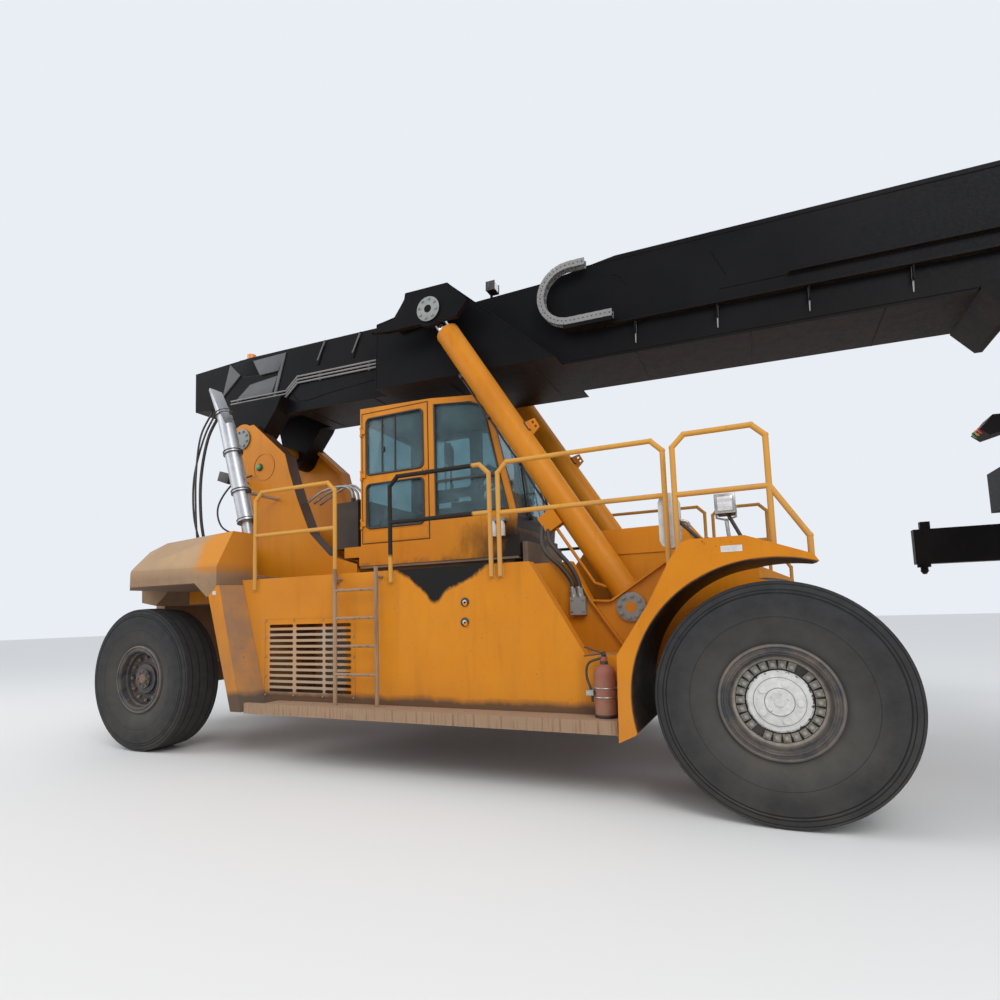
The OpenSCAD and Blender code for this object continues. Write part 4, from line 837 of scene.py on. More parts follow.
# %% Gaskets and wipers of the shell
cab = Shape()
window_set(cab, 1)
for s in (-1, 1):
    gasket(cab, [P(x, s * GLASS_Y, z) for x, z in SIDE_WINDOW], 0.014)
    cab.box((-3.38, s * 0.645 - 0.008, 2.995), (-2.62, s * 0.645 + 0.008, 3.02))
gasket(cab, [P(-4.452, y, z) for y, z in ((-0.54, 2.9), (0.54, 2.9), (0.54, 3.88), (-0.54, 3.88))], 0.014)
# Two wipers on the windscreen, each an arm, a blade and a boss
tilt = 0.18
for y in (-0.28, 0.25):
    cab.tube([P(-2.385, y, 2.545), P(-2.46, y + tilt * 0.6, 2.95), P(-2.545, y + tilt, 3.36)], 0.009, 8)
    cab.tube([P(-2.43, y + tilt * 0.4, 2.78), P(-2.61, y + tilt * 1.05, 3.63)], 0.007, 6)
    cab.lathe(P(-2.395, y, 2.54), (1, 0, 0.1), [(0.03, 0), (0.03, 0.035), (0.018, 0.045), (0, 0.046)], 14)
cab.save("cab_gaskets", "rubber", slot="hose_rubber")

# %% [markdown]
# ### Inside the cab
# Behind the glass stand a display, an arm console with its lever, the dials' hood, pedals and a blind. Only
# their outlines are seen, so they are plain boxes and bars with rounded edges, in one dark plastic.

# %% Fittings behind the glass
lining = Shape()
lining.box((-4.38, -0.58, 3.955), (-2.98, 0.58, 3.98))
lining.box((-4.39, -0.585, 2.4), (-4.365, 0.585, 2.88))
# Display and its stalk, then the arm console with its lever and post
lining.box((-3.5, -0.3, 3.3), (-3.44, 0.02, 3.56), turn=Matrix.Rotation(0.35, 3, "Z"))
lining.tube([P(-3.46, -0.14, 3.4), P(-3.44, -0.18, 3.0), P(-3.4, -0.22, 2.72)], 0.014, 8)
lining.box((-3.78, -0.43, 2.82), (-3.28, -0.29, 2.9))
lining.tube([P(-3.36, -0.36, 2.89), P(-3.33, -0.36, 3.02)], [0.012, 0.026], 12)
lining.tube([P(-3.55, -0.36, 2.6), P(-3.55, -0.36, 2.83)], 0.03, 12)
# Hood over the dials, two pedals and the blind under the roof
lining.box((-2.9, -0.3, 3.05), (-2.84, 0.3, 3.22), turn=Matrix.Rotation(-0.45, 3, "Y"))
for y in (-0.16, 0.16):
    lining.box((-2.905, y - 0.07, 2.42), (-2.8, y + 0.07, 2.45), turn=Matrix.Rotation(-0.6, 3, "Y"))
lining.box((-2.86, -0.5, 3.62), (-2.8, 0.5, 3.8), turn=Matrix.Rotation(-0.35, 3, "Y"))
lining.save("cab_fittings", "plastic", bevel=0.006)


# %% [markdown]
# ### Seat
# A seat's cushion is foam under cloth: full in the middle, drawn in along its seams. Cloth simulation would
# give that too, but slowly. A cube with a fine grid is pushed towards a rounded box, and each seam draws it
# in by a narrow bell curve.

# %% Cushions
def cushion(name, lo, hi, seams, crown):
    """A rounded pad between two corners, drawn in along its seams; seams are places along its long side."""
    bm = bmesh.new()
    bmesh.ops.create_cube(bm, size=2)  # corners at -1 and 1, so that h below is half the pad's size
    bmesh.ops.subdivide_edges(bm, edges=bm.edges[:], cuts=15, use_grid_fill=True)
    c = [(a + b) / 2 for a, b in zip(lo, hi)]
    h = [(b - a) / 2 for a, b in zip(lo, hi)]
    long = max(range(3), key=lambda i: h[i])
    thin = min(range(3), key=lambda i: h[i])
    for v in bm.verts:
        p = v.co.copy()
        k = sum(abs(q) ** 5 for q in p) ** 0.2
        p /= max(k, 1e-6)
        dent = sum(math.exp(-((p[long] - t) / 0.05) ** 2) for t in seams)
        p[thin] *= 1 - crown * (1 - math.cos(p[long] * 1.4)) - 0.2 * dent
        v.co = P(*(c[i] + h[i] * p[i] for i in range(3)))
    for f in bm.faces:
        f.smooth = True
    obj = make_object(name, bm, ["fabric"], "chassis")


cushion("seat_pad", (-3.86, -0.25, 2.64), (-3.33, 0.25, 2.785), (-0.55, 0.0, 0.5), 0.08)
cushion("seat_back", (-3.965, -0.24, 2.76), (-3.855, 0.24, 3.43), (-0.5, -0.05, 0.45), 0.05)
# %% The seat's base
base = Shape()
# Bellows of the seat's suspension: every second fold is drawn in
for i in range(5):
    z = 2.385 + i * 0.045
    fold = 0.02 * (i % 2)
    base.box((-3.79 + fold, -0.19 + fold, z), (-3.41 - fold, 0.19 - fold, z + 0.044))
base.box((-3.84, -0.235, 2.61), (-3.35, 0.235, 2.645))
base.box((-3.9, -0.1, 2.64), (-3.87, 0.1, 2.8))
seat_base = base.save("seat_base", "plastic", bevel=0.006)
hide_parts("cab_seat")
print("cab dressed")

# %% [markdown]
# ## Hoses
# Oil runs to the lift cylinders and the boom through rubber hoses, some in a spiral guard. A hose is fixed
# at both ends and hangs or stands in a curve between, so it is a bar along a curve with its thickness. Where
# its ends are on two bodies, its place is baked into its mesh, and it rides on neither.

# %% A hose
def hose(name, points, r, body=None, joined=None, ribs=0.0):
    """A free hose along a few points, ribbed under a spiral guard; when joined names two bodies, the hose's
    place is baked into its mesh.
    """
    line = even(curve_through(points, 8), 0.008 if ribs else 0.02)
    shape = Shape()
    shape.tube(line, [r * (1 + ribs if i % 2 else 1 - ribs) for i in range(len(line))], 10)
    obj = shape.save(name, "rubber", body, slot="hose_rubber", smooth=1.2)
    if joined:
        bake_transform(obj)


# %% Hoses of the lift cylinders
# From the block on the tank to the barrel: X, distance from the middle and Z
LIFT_HOSES = (
    ("rear", ((-1.677, 1.099, 1.675), (-1.69, 1.099, 1.76), (-1.79, 1.1, 1.9), (-1.93, 1.06, 2.03),
              (-2.01, 0.99, 2.17), (-2.02, 0.93, 2.33))),
    ("front", ((-1.612, 1.099, 1.675), (-1.625, 1.099, 1.76), (-1.7, 1.105, 1.91), (-1.82, 1.08, 2.05),
               (-1.92, 1.01, 2.17), (-1.96, 0.93, 2.29))),
)
FERRULE = [(0.03, 0), (0.03, 0.025), (0.024, 0.03), (0.024, 0.075), (0.028, 0.08), (0.028, 0.1)]
for side, s in SIDES:
    for place, points in LIFT_HOSES:
        hose(f"lift_hose_{place}_{side}", [P(x, s * y, z) for x, y, z in points], 0.022,
             joined=("chassis", f"barrel_{side}"), ribs=0.06)
    fittings = Shape()
    for x in (-1.6773, -1.6121):
        fittings.lathe(P(x, s * 1.099, 1.605), (-0.14, 0, 1), FERRULE, 12)
    for dx in (-0.055, 0.055):
        for dz in (-0.054, 0.054):
            fittings.hexbolt(P(-1.632 + dx, s * 1.125, 1.525 + dz), (0, s, 0), 0.008)
    fittings.save(f"hose_fittings_{side}", "zinc", slot="grey_metal")

# %% Hoses behind the tower, and its pipes
# From the hood to the boom's tail: how far each stands to the right, how far back it sags, and its radius
for k, (dy, sag, r) in enumerate(((0.0, 0.0, 0.022), (0.07, 0.06, 0.014), (0.13, -0.05, 0.014))):
    points = ((-7.4, -0.36, 2.36), (-7.44, -0.38, 2.55), (-7.5 - sag, -0.42, 3.0),
              (-7.53 - sag, -0.41, 3.6), (-7.46, -0.36, 4.2), (-7.33, -0.26, 4.605))
    hose(f"boom_hose_{k + 1}", [P(x, y - dy, z) for x, y, z in points], r, joined=("chassis", "boom"))
hose("camera_cable", [
    P(-6.2, -0.7, 3.42), P(-6.42, -0.83, 3.3), P(-6.6, -0.9, 3.0), P(-6.52, -0.9, 2.72),
    P(-6.3, -0.8, 2.62), P(-6.2, -0.7, 2.74)], 0.012, body="chassis")
pipes = Shape()
for i, y in enumerate((-0.47, -0.35, -0.23)):
    pipes.tube(curve_through([P(-4.7, y, 2.96), P(-4.74, y, 3.1), P(-4.92, y, 3.16 + 0.03 * i),
                              P(-5.18, y - 0.02, 3.12), P(-5.4, y - 0.04, 3.0)], 8), 0.016, 8)
pipes.save("tower_pipes", "zinc", slot="grey_metal")
print("hoses placed")

# %% [markdown]
# ## Boom
# The cable chain is a row of plastic links that rolls round a bend and carries the cables to the spreader.
# The links are laid along an even line, each a pair of side plates with cross bars, and every second laps
# over.

# %% Cable chain
chain = Shape()
PITCH = 0.047
chain_y, bend_x, bend_z, bend_r = -0.545, 4.62, 1.096, 0.316
path = [(5.09 - PITCH * i, 0.78) for i in range(10)]
for k in range(16):
    a = math.radians(270 - 12 * k)
    path.append((bend_x + bend_r * math.cos(a), bend_z + bend_r * math.sin(a)))
path += [(bend_x + PITCH * (i + 1), bend_z + bend_r) for i in range(4)]
line = even([B(x, chain_y, z) for x, z in path], PITCH)
for i, (a, b) in enumerate(zip(line, line[1:])):
    out = LEFT.cross((b - a).normalized())
    mid = (a + b) / 2
    wide = 0.0025 if i % 2 else 0.0  # every second link laps over its neighbours
    for y0, y1 in ((-0.047 - wide, -0.033), (0.033, 0.047 + wide)):
        chain.box((-0.004, y0, -0.038), (1.004, y1, 0.038),
                  at=lambda t, y, r: a + (b - a) * t + out * r + LEFT * y)
    if i % 2 == 0:
        for r in (-0.034, 0.034):
            chain.tube([mid + out * r - LEFT * 0.033, mid + out * r + LEFT * 0.033], 0.006, 6)
    chain.tube([mid - LEFT * 0.0505, mid + LEFT * 0.0505], 0.008, 8, 1)
for y in (-0.018, 0.012):
    chain.tube([p + LEFT * y for p in line], 0.012, 8, 1)
links = chain.save("chain_links", "grey plastic", "boom")
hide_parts("cable_chain")

# %% [markdown]
# ### Beacon and work lamp
# The beacon's dome is a turned part, so a profile is spun about the boom's upright. The work lamp is a
# pane, a tube and two cheeks.

# %% Beacon and work lamp
beacon = Shape()
boom_up = B(0, 0, 1) - B(0, 0, 0)
beacon.lathe(B(-0.36, -0.24, 1.328), boom_up, [(0.07, 0), (0.07, 0.03), (0.063, 0.036)], 28, 1)
beacon.lathe(B(-0.36, -0.24, 1.36), boom_up,
             [(0.0636, 0), (0.0636, 0.05), (0.063, 0.0786), (0.06, 0.0791), (0, 0.0792)], 28)
beacon.save("beacon_lens", "amber plastic", "boom")

lamp = Shape()
lamp.box((3.702, -0.48, 1.41), (3.708, -0.38, 1.49), at=B)
lamp.tube([B(3.64, -0.5, 1.42), B(3.64, -0.5, 1.49)], 0.01, 8, 1)
for y in (-0.495, -0.365):
    lamp.box((3.6, y - 0.006, 1.395), (3.712, y + 0.006, 1.505), at=B, mat=1)
lamp.save("work_lamp_lens", "lamp plastic", "boom", slot="cab_glass")

# %% [markdown]
# ### Panels and welds
# The rear housing has plates that stand out from the boom's side and slant. Their pale grey is painted
# highlight, sunlight on the black boom's faces that tilt up. Each is an outline extruded by its own depth at
# every corner. The weld beads are thin half-sunk bars along the seams: a bump in the material would be lost
# from the mesh that is kept.

# %% Plates on the rear housing
panel = Shape()
# Plates of the rear housing, pale grey as painted highlight: outlines along the boom and up, and how far each
# corner stands out
slant = (-0.448, -0.448, -0.466, -0.466)
for outline, tip in (
        (((-0.11, 1.229), (0.493, 1.243), (0.391, 0.996), (0.048, 0.987)), slant),
        (((-0.153, 0.884), (0.365, 0.934), (0.264, 0.663), (-0.383, 0.693)), slant),
        (((-0.566, 1.252), (-0.341, 1.052), (-0.68, 0.771)), (-0.448, -0.462, -0.462))):
    panel.prism(outline, -BOOM_Y, 0, at=B, tip=tip)
rim = ((0.493, 1.243), (0.512, 1.243), (0.345, 0.64), (0.3, 0.655), (0.391, 0.996))
panel.prism(rim, -BOOM_Y, -0.456, at=B)
dark = ((-0.5, 1.232), (-0.12, 1.248), (0.02, 0.992), (-0.309, 1.023))
panel.prism(dark, -BOOM_Y, -0.4435, at=B, mat=1)
for x in (1.08, 1.66):
    rib = ((x + 0.1, 1.268), (x + 0.124, 1.268), (x + 0.01, 1.02), (x - 0.014, 1.02))
    panel.prism(rib, -BOOM_Y, -0.462, at=B)
panel.save("boom_rear_panels", "panel boom_black", "boom", bevel=0.002, slot="black_paint")

# %% Weld beads
seam = Shape()
for s in (-1, 1):
    for pts in (((0.62, 0.7), (0.7, 0.56), (0.86, 0.5), (1.3, 0.55), (2.15, 0.62)),
                ((5.068, 1.273), (5.16, 1.22), (5.228, 1.115)), ((6.062, 1.271), (6.195, 0.997)),
                ((4.56, 1.43), (8.38, 1.43)), ((4.6, 0.4), (8.15, 0.4)), ((6.13, 0.862), (8.38, 0.862))):
        pts = [B(x, s * 0.4405, z) for x, z in pts]
        seam.tube(curve_through(pts, 6) if len(pts) > 2 else pts, 0.006, 6)
    for pts in (((2.205, 0.38), (2.205, 1.18), (2.464, 1.225), (2.64, 1.465)),
                ((3.22, 1.465), (4.48, 0.375))):
        seam.tube([B(x, s * 0.6885, z) for x, z in pts], 0.006, 6)
for x in (0.9, 2.0, 3.1, 4.2, 5.3, 6.4, 7.5):
    seam.tube([B(x, -0.43, 0.3635), B(x, 0.43, 0.3635)], 0.005, 6)
seam.save("boom_welds", "boom_black", "boom", slot="black_paint")

# %% Pin plates and webs
plates = Shape()
for s in (-1, 1):
    plates.bolt_circle((EYE_X, s * 1.016, EYE_Z), s, 0.112, 8, 0.011, start=10, at=B)
    plates.lathe(B(EYE_X, s, EYE_Z), (0, s, 0),
                 [(0.143, 0), (0.143, 0.006), (0.138, 0.009), (0.02, 0.009)], 32)
    for x in (5.3, 6.1, 6.9, 7.7):
        web = ((x - 0.004, 0.715), (x + 0.016, 0.715), (x + 0.01, 0.46), (x + 0.002, 0.46))
        plates.prism(web, s * BOOM_Y, s * 0.452, at=B)
plates.save("boom_plates_bolts", "steel", "boom", slot="grey_metal")

# %% [markdown]
# ### Trim of the lift cylinders
# Each barrel has a reflector in a frame and a thin hose with clips. They lie along the leaning barrel, so two
# directions are worked out once and the pieces are placed by them.

# %% Reflector, hose and clips on the barrels
# Along the lift cylinder, and square to it towards the front
along, front = Vector((-0.525539, 0, 0.85077)), Vector((0.85077, 0, 0.525539))
SQUARE = ((-1, -1), (1, -1), (1, 1), (-1, 1))
for side, s in SIDES:
    trim = Shape()
    foot = P(FOOT_X, s * 0.83, FOOT_Z)
    centre = foot.lerp(P(-3.2505, s * 0.83, 4.9007), 0.54) + front * 0.135
    # The reflector in its frame
    for half, depth, mat in ((0.052, 0.006, 1), (0.044, 0.012, 0)):
        square = [centre + along * (half * i) + LEFT * (half * k) for i, k in SQUARE]
        trim.cap([p - front * 0.01 for p in square], [p + front * depth for p in square], mat)
    # The hose that climbs the barrel's rear face, with its clips
    climb = ((1.26, 0.17), (1.8, 0.155), (3.2, 0.155))
    trim.tube([foot + along * t - front * d for t, d in climb], 0.011, 8, 2)
    for t in (1.9, 2.55, 3.15):
        trim.box((-0.02, -0.03, 0.13), (0.02, 0.03, 0.17), mat=2,
                 at=lambda x, y, z: foot + along * (t + x) - front * z + LEFT * y)
    trim.save(f"barrel_trim_{side}", "amber plastic rubber", f"barrel_{side}")
print("boom dressed")

# %% [markdown]
# ## Chassis
# The fittings of the chassis are bought-in parts: a camera, lamps, mirrors, an extinguisher, filters. Each is
# built from the few forms that the real one has, and rides on the chassis.

# %% Tower camera and lamp
tower = Shape()
tower.tube([P(-6.3, -0.675, 3.33), P(-6.34, -0.9, 3.33), P(-6.34, -0.98, 3.33)], 0.016, 8)
tower.box((-6.45, -1.04, 3.28), (-6.26, -0.94, 3.41), turn=Matrix.Rotation(0.35, 3, "Y"))
tower.lathe(P(-6.27, -0.99, 3.31), (1, 0, -0.4),
            [(0.034, -0.01), (0.034, 0.012), (0.026, 0.02), (0, 0.021)], 16)
tower.lathe(P(-6.08, -0.68, 3.52), (0, -1, 0), [(0.05, -0.002), (0.05, 0.016), (0.04, 0.022)], 24)
tower.lathe(P(-6.08, -0.7, 3.52), (0, -1, 0), [(0.04, 0), (0.038, 0.012), (0.02, 0.018), (0, 0.019)], 24, 1)
tower.save("tower_camera_lamp", "plastic signal_green", bevel=0.003)

# %% [markdown]
# ### Fender lamps and mirrors
# A lamp hangs in a fork on the fender and a mirror stands beside it. Both sides are made by one loop with a
# sign for the side, rather than a mirror modifier, because a piece for each side can ride and be baked alone.

# %% Fender lamps and mirrors
for side, s in SIDES:
    lamp = Shape()
    y = s * 1.65
    x, z, wide, high = -0.27, 2.256, 0.065, 0.066
    lamp.box((x - wide, y - 0.078, z - high), (x + wide, y + 0.078, z + high))
    for grow, y0, y1, mat in ((0.01, 1.725, 1.741, 2), (-0.01, 1.735, 1.745, 1)):
        outline = [(x + i * (wide + grow), z + k * (high + grow)) for i, k in SQUARE]
        lamp.prism(outline, s * y0, s * y1, mat=mat)
    fork = ((-0.34, 2.25), (-0.34, 2.16), (-0.27, 2.14), (-0.2, 2.16), (-0.2, 2.25))
    lamp.tube([P(x, y, z) for x, z in fork], 0.009, 8, 2)
    lamp.tube([P(x, y, z) for x, z in ((-0.27, 2.14), (-0.265, 2.06), (-0.255, 1.965))], 0.014, 8, 2)
    lamp.box((-0.33, y - 0.05, 1.9655), (-0.12, y + 0.05, 1.979), mat=2)
    for x in (-0.29, -0.16):
        lamp.hexbolt(P(x, y, 1.979), UP, 0.01, 2)
    lamp.save(f"fender_lamp_{side}", "plastic lamp zinc", bevel=0.004)

    mirror = Shape()
    loop = [(-0.765, 2.01), (-0.765, 2.31), (-0.745, 2.36), (-0.7, 2.385), (-0.665, 2.385), (-0.628, 2.36),
            (-0.608, 2.31), (-0.608, 2.01), (-0.628, 1.965), (-0.665, 1.945), (-0.7, 1.945), (-0.745, 1.965)]
    mirror.prism(loop, s * 1.595, s * 1.737)
    face = [(-0.687 + (x + 0.687) * 0.97, 2.165 + (z - 2.165) * 0.97) for x, z in loop]
    mirror.prism(face, s * 1.591, s * 1.595, mat=1)
    arm = ((-0.62, 1.7, 2.16), (-0.55, 1.69, 2.14), (-0.53, 1.67, 2.05), (-0.46, 1.65, 1.995),
           (-0.38, 1.65, 1.985))
    mirror.tube(curve_through([P(x, s * y, z) for x, y, z in arm], 6), 0.013, 8, 2)
    mirror.tube([P(-0.44, s * 1.65, 1.99), P(-0.36, s * 1.65, 1.988)], 0.022, 10, 1)
    mirror.save(f"fender_mirror_{side}", "pale plastic zinc", bevel=0.012)

# %% [markdown]
# ### Fire extinguisher
# The bottle is a CAD solid. Its valve, levers, hose, straps and foot ring are added round it, since they are
# too thin to be worth a solid.

# %% Fittings of the extinguisher
bottle = Shape()
ex, ey = -1.23, -1.84
bottle.lathe(P(ex, ey, 1.045), UP,
             [(0.03, 0), (0.03, 0.03), (0.02, 0.035), (0.02, 0.075), (0.024, 0.08), (0.0, 0.09)], 16, 1)
bottle.box((ex - 0.012, ey - 0.012, 1.112), (ex + 0.012, ey + 0.012, 1.15), mat=1)
for z, tilt in ((1.158, 0.32), (1.124, -0.12)):
    bottle.box((ex - 0.16, ey - 0.01, z - 0.005), (ex + 0.01, ey + 0.01, z + 0.005), mat=1,
               turn=Matrix.Rotation(tilt, 3, "Y"))
hose("extinguisher_hose", [
    P(ex - 0.02, ey - 0.01, 1.1), P(ex - 0.12, ey - 0.02, 1.06), P(ex - 0.14, ey - 0.02, 0.96),
    P(ex - 0.105, ey - 0.02, 0.84), P(ex - 0.1, ey - 0.02, 0.74)], 0.01, body="chassis")
# Its strap, the holder and the foot ring
for z in (0.8, 0.87):
    bottle.tube(circle(P(ex, ey, z), AHEAD, LEFT, 0.088, 28), 0.006, 6, closed=True)
bottle.box((ex - 0.135, ey - 0.075, 0.815), (ex - 0.078, ey + 0.06, 0.855))
bottle.box((ex - 0.1, ey + 0.078, 0.76), (ex + 0.1, ey + 0.0895, 0.92))
bottle.lathe(P(ex, ey, 0.642), UP, [(0.086, 0), (0.088, 0.004), (0.088, 0.02), (0.0865, 0.025)], 32, 1)
bottle.save("extinguisher_fittings", "zinc rubber")

# %% [markdown]
# ### Filters and exhaust clamps
# The filters are turned cans under one bracket. A clamp is a pair of bands round the leaning stack with a
# bolt at its lug, so the bands' circles are laid square to the stack.

# %% Filters
filters = Shape()
for x in (-2.66, -2.56):
    filters.lathe(P(x, -0.715, 2.3), UP, [(0.04, 0), (0.042, 0.01), (0.042, 0.125), (0.034, 0.14),
                                                  (0.034, 0.165), (0.02, 0.17), (0, 0.171)], 20)
filters.box((-2.71, -0.74, 2.465), (-2.51, -0.648, 2.495), mat=1)
filters.save("deck_filters", "pale grey", slot="white_paint")

# %% Exhaust clamps
clamps = Shape()
# Along the leaning stack, and square to it
stack, across = Vector((-0.273, 0, 0.962)), Vector((0.962, 0, 0.273))
for x, z in ((-5.652, 2.672), (-5.757, 3.04), (-5.9, 3.545), (-6.048, 4.066)):
    for k in (-1, 1):
        band = circle(P(x, -1.3, z) + stack * (0.017 * k), across, LEFT, 0.112, 32)
        clamps.tube(band, 0.005, 6, closed=True)
    clamps.box((x + 0.095, -1.32, z - 0.022), (x + 0.155, -1.28, z + 0.022))
    clamps.hexbolt(P(x + 0.14, -1.32, z), (0, -1, 0), 0.01)
clamps.save("exhaust_clamps", "frame_black", slot="grey_metal")

# %% [markdown]
# ### Bolts and small plates
# Pins are kept in by round plates with rings of bolts, and rails, grille and step by rows of them. A bolt
# is a washer and a six-sided head: from a few steps away nothing more is seen, and hundreds of them stay
# light.

# %% Frame bolts
bolts = Shape()
for s in (-1, 1):
    bolts.bolt_circle((PIVOT_X, s * 0.716, PIVOT_Z), s, 0.108, 8, 0.012, start=20)
    bolts.bolt_circle((FOOT_X, s * 1.093, FOOT_Z), s, 0.1, 8, 0.0125, start=10)
    bolts.lathe(P(FOOT_X, s * 1.076, FOOT_Z), (0, s, 0),
                [(0.133, 0), (0.133, 0.002), (0.129, 0.004), (0.06, 0.004)], 36)
    bolts.lathe(P(PIVOT_X, s * 0.699, PIVOT_Z), (0, s, 0),
                [(0.143, 0), (0.143, 0.002), (0.139, 0.004), (0.03, 0.004)], 36)
    # Feet of the rails, and the frame round the grille
    for x in (-5.022, -3.94, -3.275, -2.215, -2.13):
        for z in (1.815, 1.875):
            bolts.hexbolt(P(x, s * 1.756, z), (0, s, 0), 0.009)
    for z in (0.695, 1.465):
        for x in (-4.875, -4.49, -4.11, -3.73):
            bolts.hexbolt(P(x, s * 1.756, z), (0, s, 0), 0.007)
    for x in (-4.875, -3.73):
        for z in (0.89, 1.09, 1.29):
            bolts.hexbolt(P(x, s * 1.756, z), (0, s, 0), 0.007)
    for i in range(9):
        bolts.hexbolt(P(-4.55 + 0.42 * i, s * 1.9, 0.641), UP, 0.009)
bolts.save("frame_bolts", "steel", slot="grey_metal")

# %% Plugs, reflectors and bare plates
plates = Shape()
for s in (-1, 1):
    # Holes in the pillar's slanting face, the tank's plugs, the pillar's reflector, the fender's bare plate
    for t in (0.5, 0.57):
        a = P(-5.358, s * 1.95, 1.86).lerp(P(-5.02, s * 1.95, 0.535), t)
        b = P(-5.218, s * 1.75, 1.86).lerp(P(-4.845, s * 1.75, 0.535), t)
        mid = a.lerp(b, 0.5)
        n = Vector((0.8, s * 0.56, 0.2)).normalized()
        ends = [mid - n * 0.01 - UP * 0.02, mid + n * 0.0015 + Vector((0.006, 0, -0.025))]
        plates.tube(ends, 0.017, 12)
    for x, z in ((-2.494, 1.583), (-2.499, 1.404)):
        for y, profile, seg, mat in (
                (1.748, [(0.042, 0), (0.042, 0.008), (0.036, 0.012), (0, 0.012)], 20, 0),
                (1.76, [(0.02, -0.001), (0.02, 0.001), (0.012, 0.002), (0, 0.002)], 14, 1)):
            plates.lathe(P(x, s * y, z), (0, s, 0), profile, seg, mat)
    plates.box((-5.45, s * 1.9495, 1.76), (-5.4, s * 1.953, 1.8), mat=1)
    plates.box((-0.3, s * 2.0895, 1.855), (-0.16, s * 2.093, 1.9), mat=1)
plates.save("small_plates", "rubber pale", slot="white_paint")
print("chassis dressed")

# %% [markdown]
# ## Hood, rear face and tanks
# Two covers on the hood open for service. Each follows the hood's slope, which is worked out by a function.
# The rear face has lamps, bolts and the towing pin's bushes, and the tank tops have ribs to stand on.

# %% Service covers
def hood_z(x):
    """Height of the hood's top along its middle."""
    return 2.48 - 0.01 * min(1, (-5.4 - x) / 1.41) - 0.05 * max(0, min(1, (-6.81 - x) / 0.64)) \
        - 0.1 * max(0, min(1, (-7.45 - x) / 0.4))


covers = Shape()
x0, x1, edge = -7.36, -6.78, 0.008
for y0, y1 in ((-0.55, -0.03), (0.03, 0.55)):
    low = [P(x, y, hood_z(x) - 0.004) for x, y in ((x0, y0), (x1, y0), (x1, y1), (x0, y1))]
    high = [P(x, y, z + 0.006) for x, y, z in (
        (x0 + edge, y0 + edge, hood_z(x0)), (x1 - edge, y0 + edge, hood_z(x1)),
        (x1 - edge, y1 - edge, hood_z(x1)), (x0 + edge, y1 - edge, hood_z(x0)))]
    covers.cap(low, high)
# A handle and two hinge pins on each cover
for y in (-0.29, 0.29):
    z = hood_z(-7.28) + 0.004
    grip = ((-0.07, 0), (-0.07, 0.035), (0.07, 0.035), (0.07, 0))
    covers.tube([P(-7.28, y + dy, z + dz) for dy, dz in grip], 0.008, 8, 1)
    for x in (-6.86, -6.82):
        covers.tube([P(x, y - 0.2, hood_z(x) + 0.008), P(x, y - 0.12, hood_z(x) + 0.008)], 0.009, 8, 1)
for s in (-1, 1):
    for x in (-7.3, -6.95, -6.6):
        covers.hexbolt(P(x, s * 0.85, hood_z(x) - 0.002), UP, 0.011, 1)
covers.save("hood_covers", "hood frame_black", slot="yellow_paint")

# %% Rear lamps and towing bushes
rear = Shape()
rear_x = -8.04
for s in (-1, 1):
    for y, half, x0, x1, z0, z1, mat in (
            (0.46, 0.04, -0.028, -0.004, 1.655, 1.735, 1), (0.55, 0.04, -0.028, -0.004, 1.655, 1.735, 2),
            (0.505, 0.1, -0.018, 0.002, 1.64, 1.75, 0)):
        rear.box((rear_x + x0, s * y - half, z0), (rear_x + x1, s * y + half, z1), mat=mat)
    for z in (1.05, 1.45):
        rear.hexbolt(P(rear_x, s * 0.62, z), (-1, 0, 0), 0.018)
    rear.prism(((-8.052, 1.3), (-8.052, 1.36), (-8.041, 1.36), (-8.041, 1.3)), s * 0.45, s * 0.55, mat=3)
for z in (0.99, 1.21):
    rear.lathe(P(-7.99, 0, z), UP, [(0.048, 0), (0.048, 0.004), (0.03, 0.004)], 20)
rear.save("rear_lamps", "frame_black signal_red amber pale", bevel=0.003)

# %% Tread ribs
ribs = Shape()
# Tread ribs on the tank tops, left out beside the cab's door
for s in (-1, 1):
    for i in range(26):
        x = -5.0 + i * 0.11
        if not (s < 0 and -3.2 < x < -2.3):
            ribs.box((x, s * 1.32 - 0.3, 1.913), (x + 0.018, s * 1.32 + 0.3, 1.919))
ribs.save("deck_ribs", "dusty", slot="dusty_paint")
print("hood dressed")

# %% [markdown]
# ## Spreader
# The spreader turns on a ring with bolts all round, and three lamps tell the driver whether the twistlocks
# are home. The arms carry bolts and an amber lamp of their own. Each piece rides on the body it is screwed
# to.

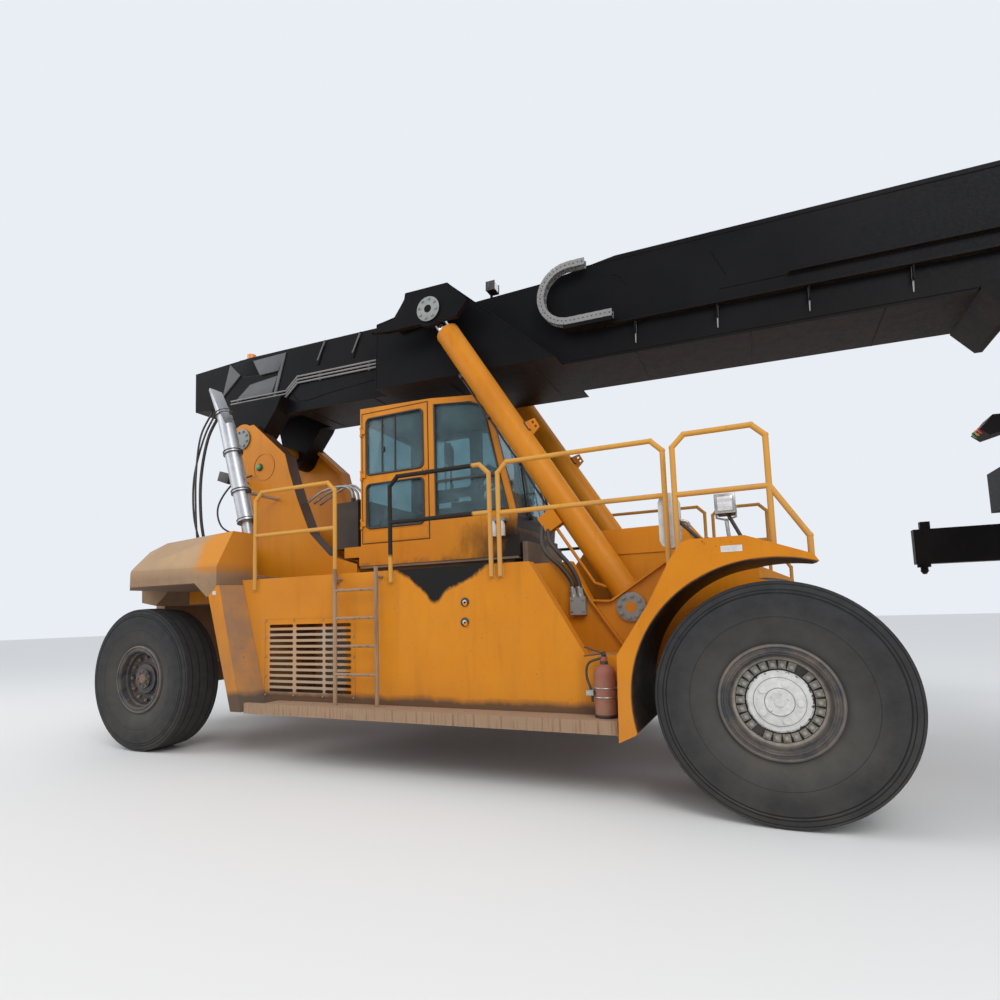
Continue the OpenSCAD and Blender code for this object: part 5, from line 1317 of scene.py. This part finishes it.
# %% Ring bolts, lenses and arm bolts
head = Shape()
for p in circle(P(SPREADER_X, 0, 3.2615), AHEAD, LEFT, 0.425, 24):
    head.hexbolt(p, UP, 0.013)
for y, mat in ((0.74, 2), (0.83, 1), (0.92, 3)):
    head.lathe(P(SPREADER_X - 0.995, y, 3.135), (-1, 0, -0.55),
               [(0.034, -0.02), (0.034, 0.002), (0.024, 0.01), (0, 0.012)], 18, mat)
head.save("ring_bolts_lenses", "steel amber signal_red signal_green", "head")
for side, s in SIDES:
    arm = Shape()
    end_y = 2.9265  # middle of the cross bar with the twistlocks
    for k in (-1, 1):
        for y in (end_y - 0.04, end_y + 0.04):
            arm.hexbolt(P(SPREADER_X + k * 1.1495, s * y, 2.411), UP, 0.01)
    x = SPREADER_X + s * 0.26
    for z in (2.2, 2.5, 2.8):
        for dx in (-0.17, 0.17):
            arm.hexbolt(P(x + dx, s * 2.828, z), (0, s, 0), 0.012)
    arm.lathe(P(x - 0.12, s * (end_y - 0.13), 3.068), UP,
              [(0.03, 0), (0.028, 0.02), (0.015, 0.03), (0, 0.031)], 16, 1)
    arm.save(f"arm_bolts_{side}", "steel amber", f"arm_{side}")
print("spreader dressed")

# %% [markdown]
# ## Stage and light
# The machine stands on a pale floor under an overcast sky. Two large area lamps and an even world give soft
# shadows at a plain level, at which a colour renders about as it is written.

# %% Floor, world and lamps
def make_stage():
    bpy.ops.mesh.primitive_plane_add(size=160, location=(0, 0, 0))
    floor = bpy.context.object
    floor.name = "floor"
    n = Nodes("floor")
    floor.data.materials.append(n.finish((0.74, 0.73, 0.71), 0.9))
    world = bpy.data.worlds.new("world")
    bpy.context.scene.world = world
    world.use_nodes = True
    bg = world.node_tree.nodes["Background"]
    bg.inputs[0].default_value = (0.86, 0.9, 0.96, 1)
    bg.inputs[1].default_value = 0.95
    for name, loc, rot, size, power in (
            ("key", (9, -13, 13), (0.72, 0.0, 0.62), 9, 1500),
            ("fill", (-13, -9, 9), (0.9, 0.0, -0.9), 9, 500)):
        light = bpy.data.lights.new(name, "AREA")
        light.size = size
        light.energy = power
        obj = bpy.data.objects.new(name, light)
        obj.location = loc
        obj.rotation_euler = rot
        bpy.context.scene.collection.objects.link(obj)


make_stage()
bpy.context.scene.view_settings.view_transform = "Standard"
print("stage ready")
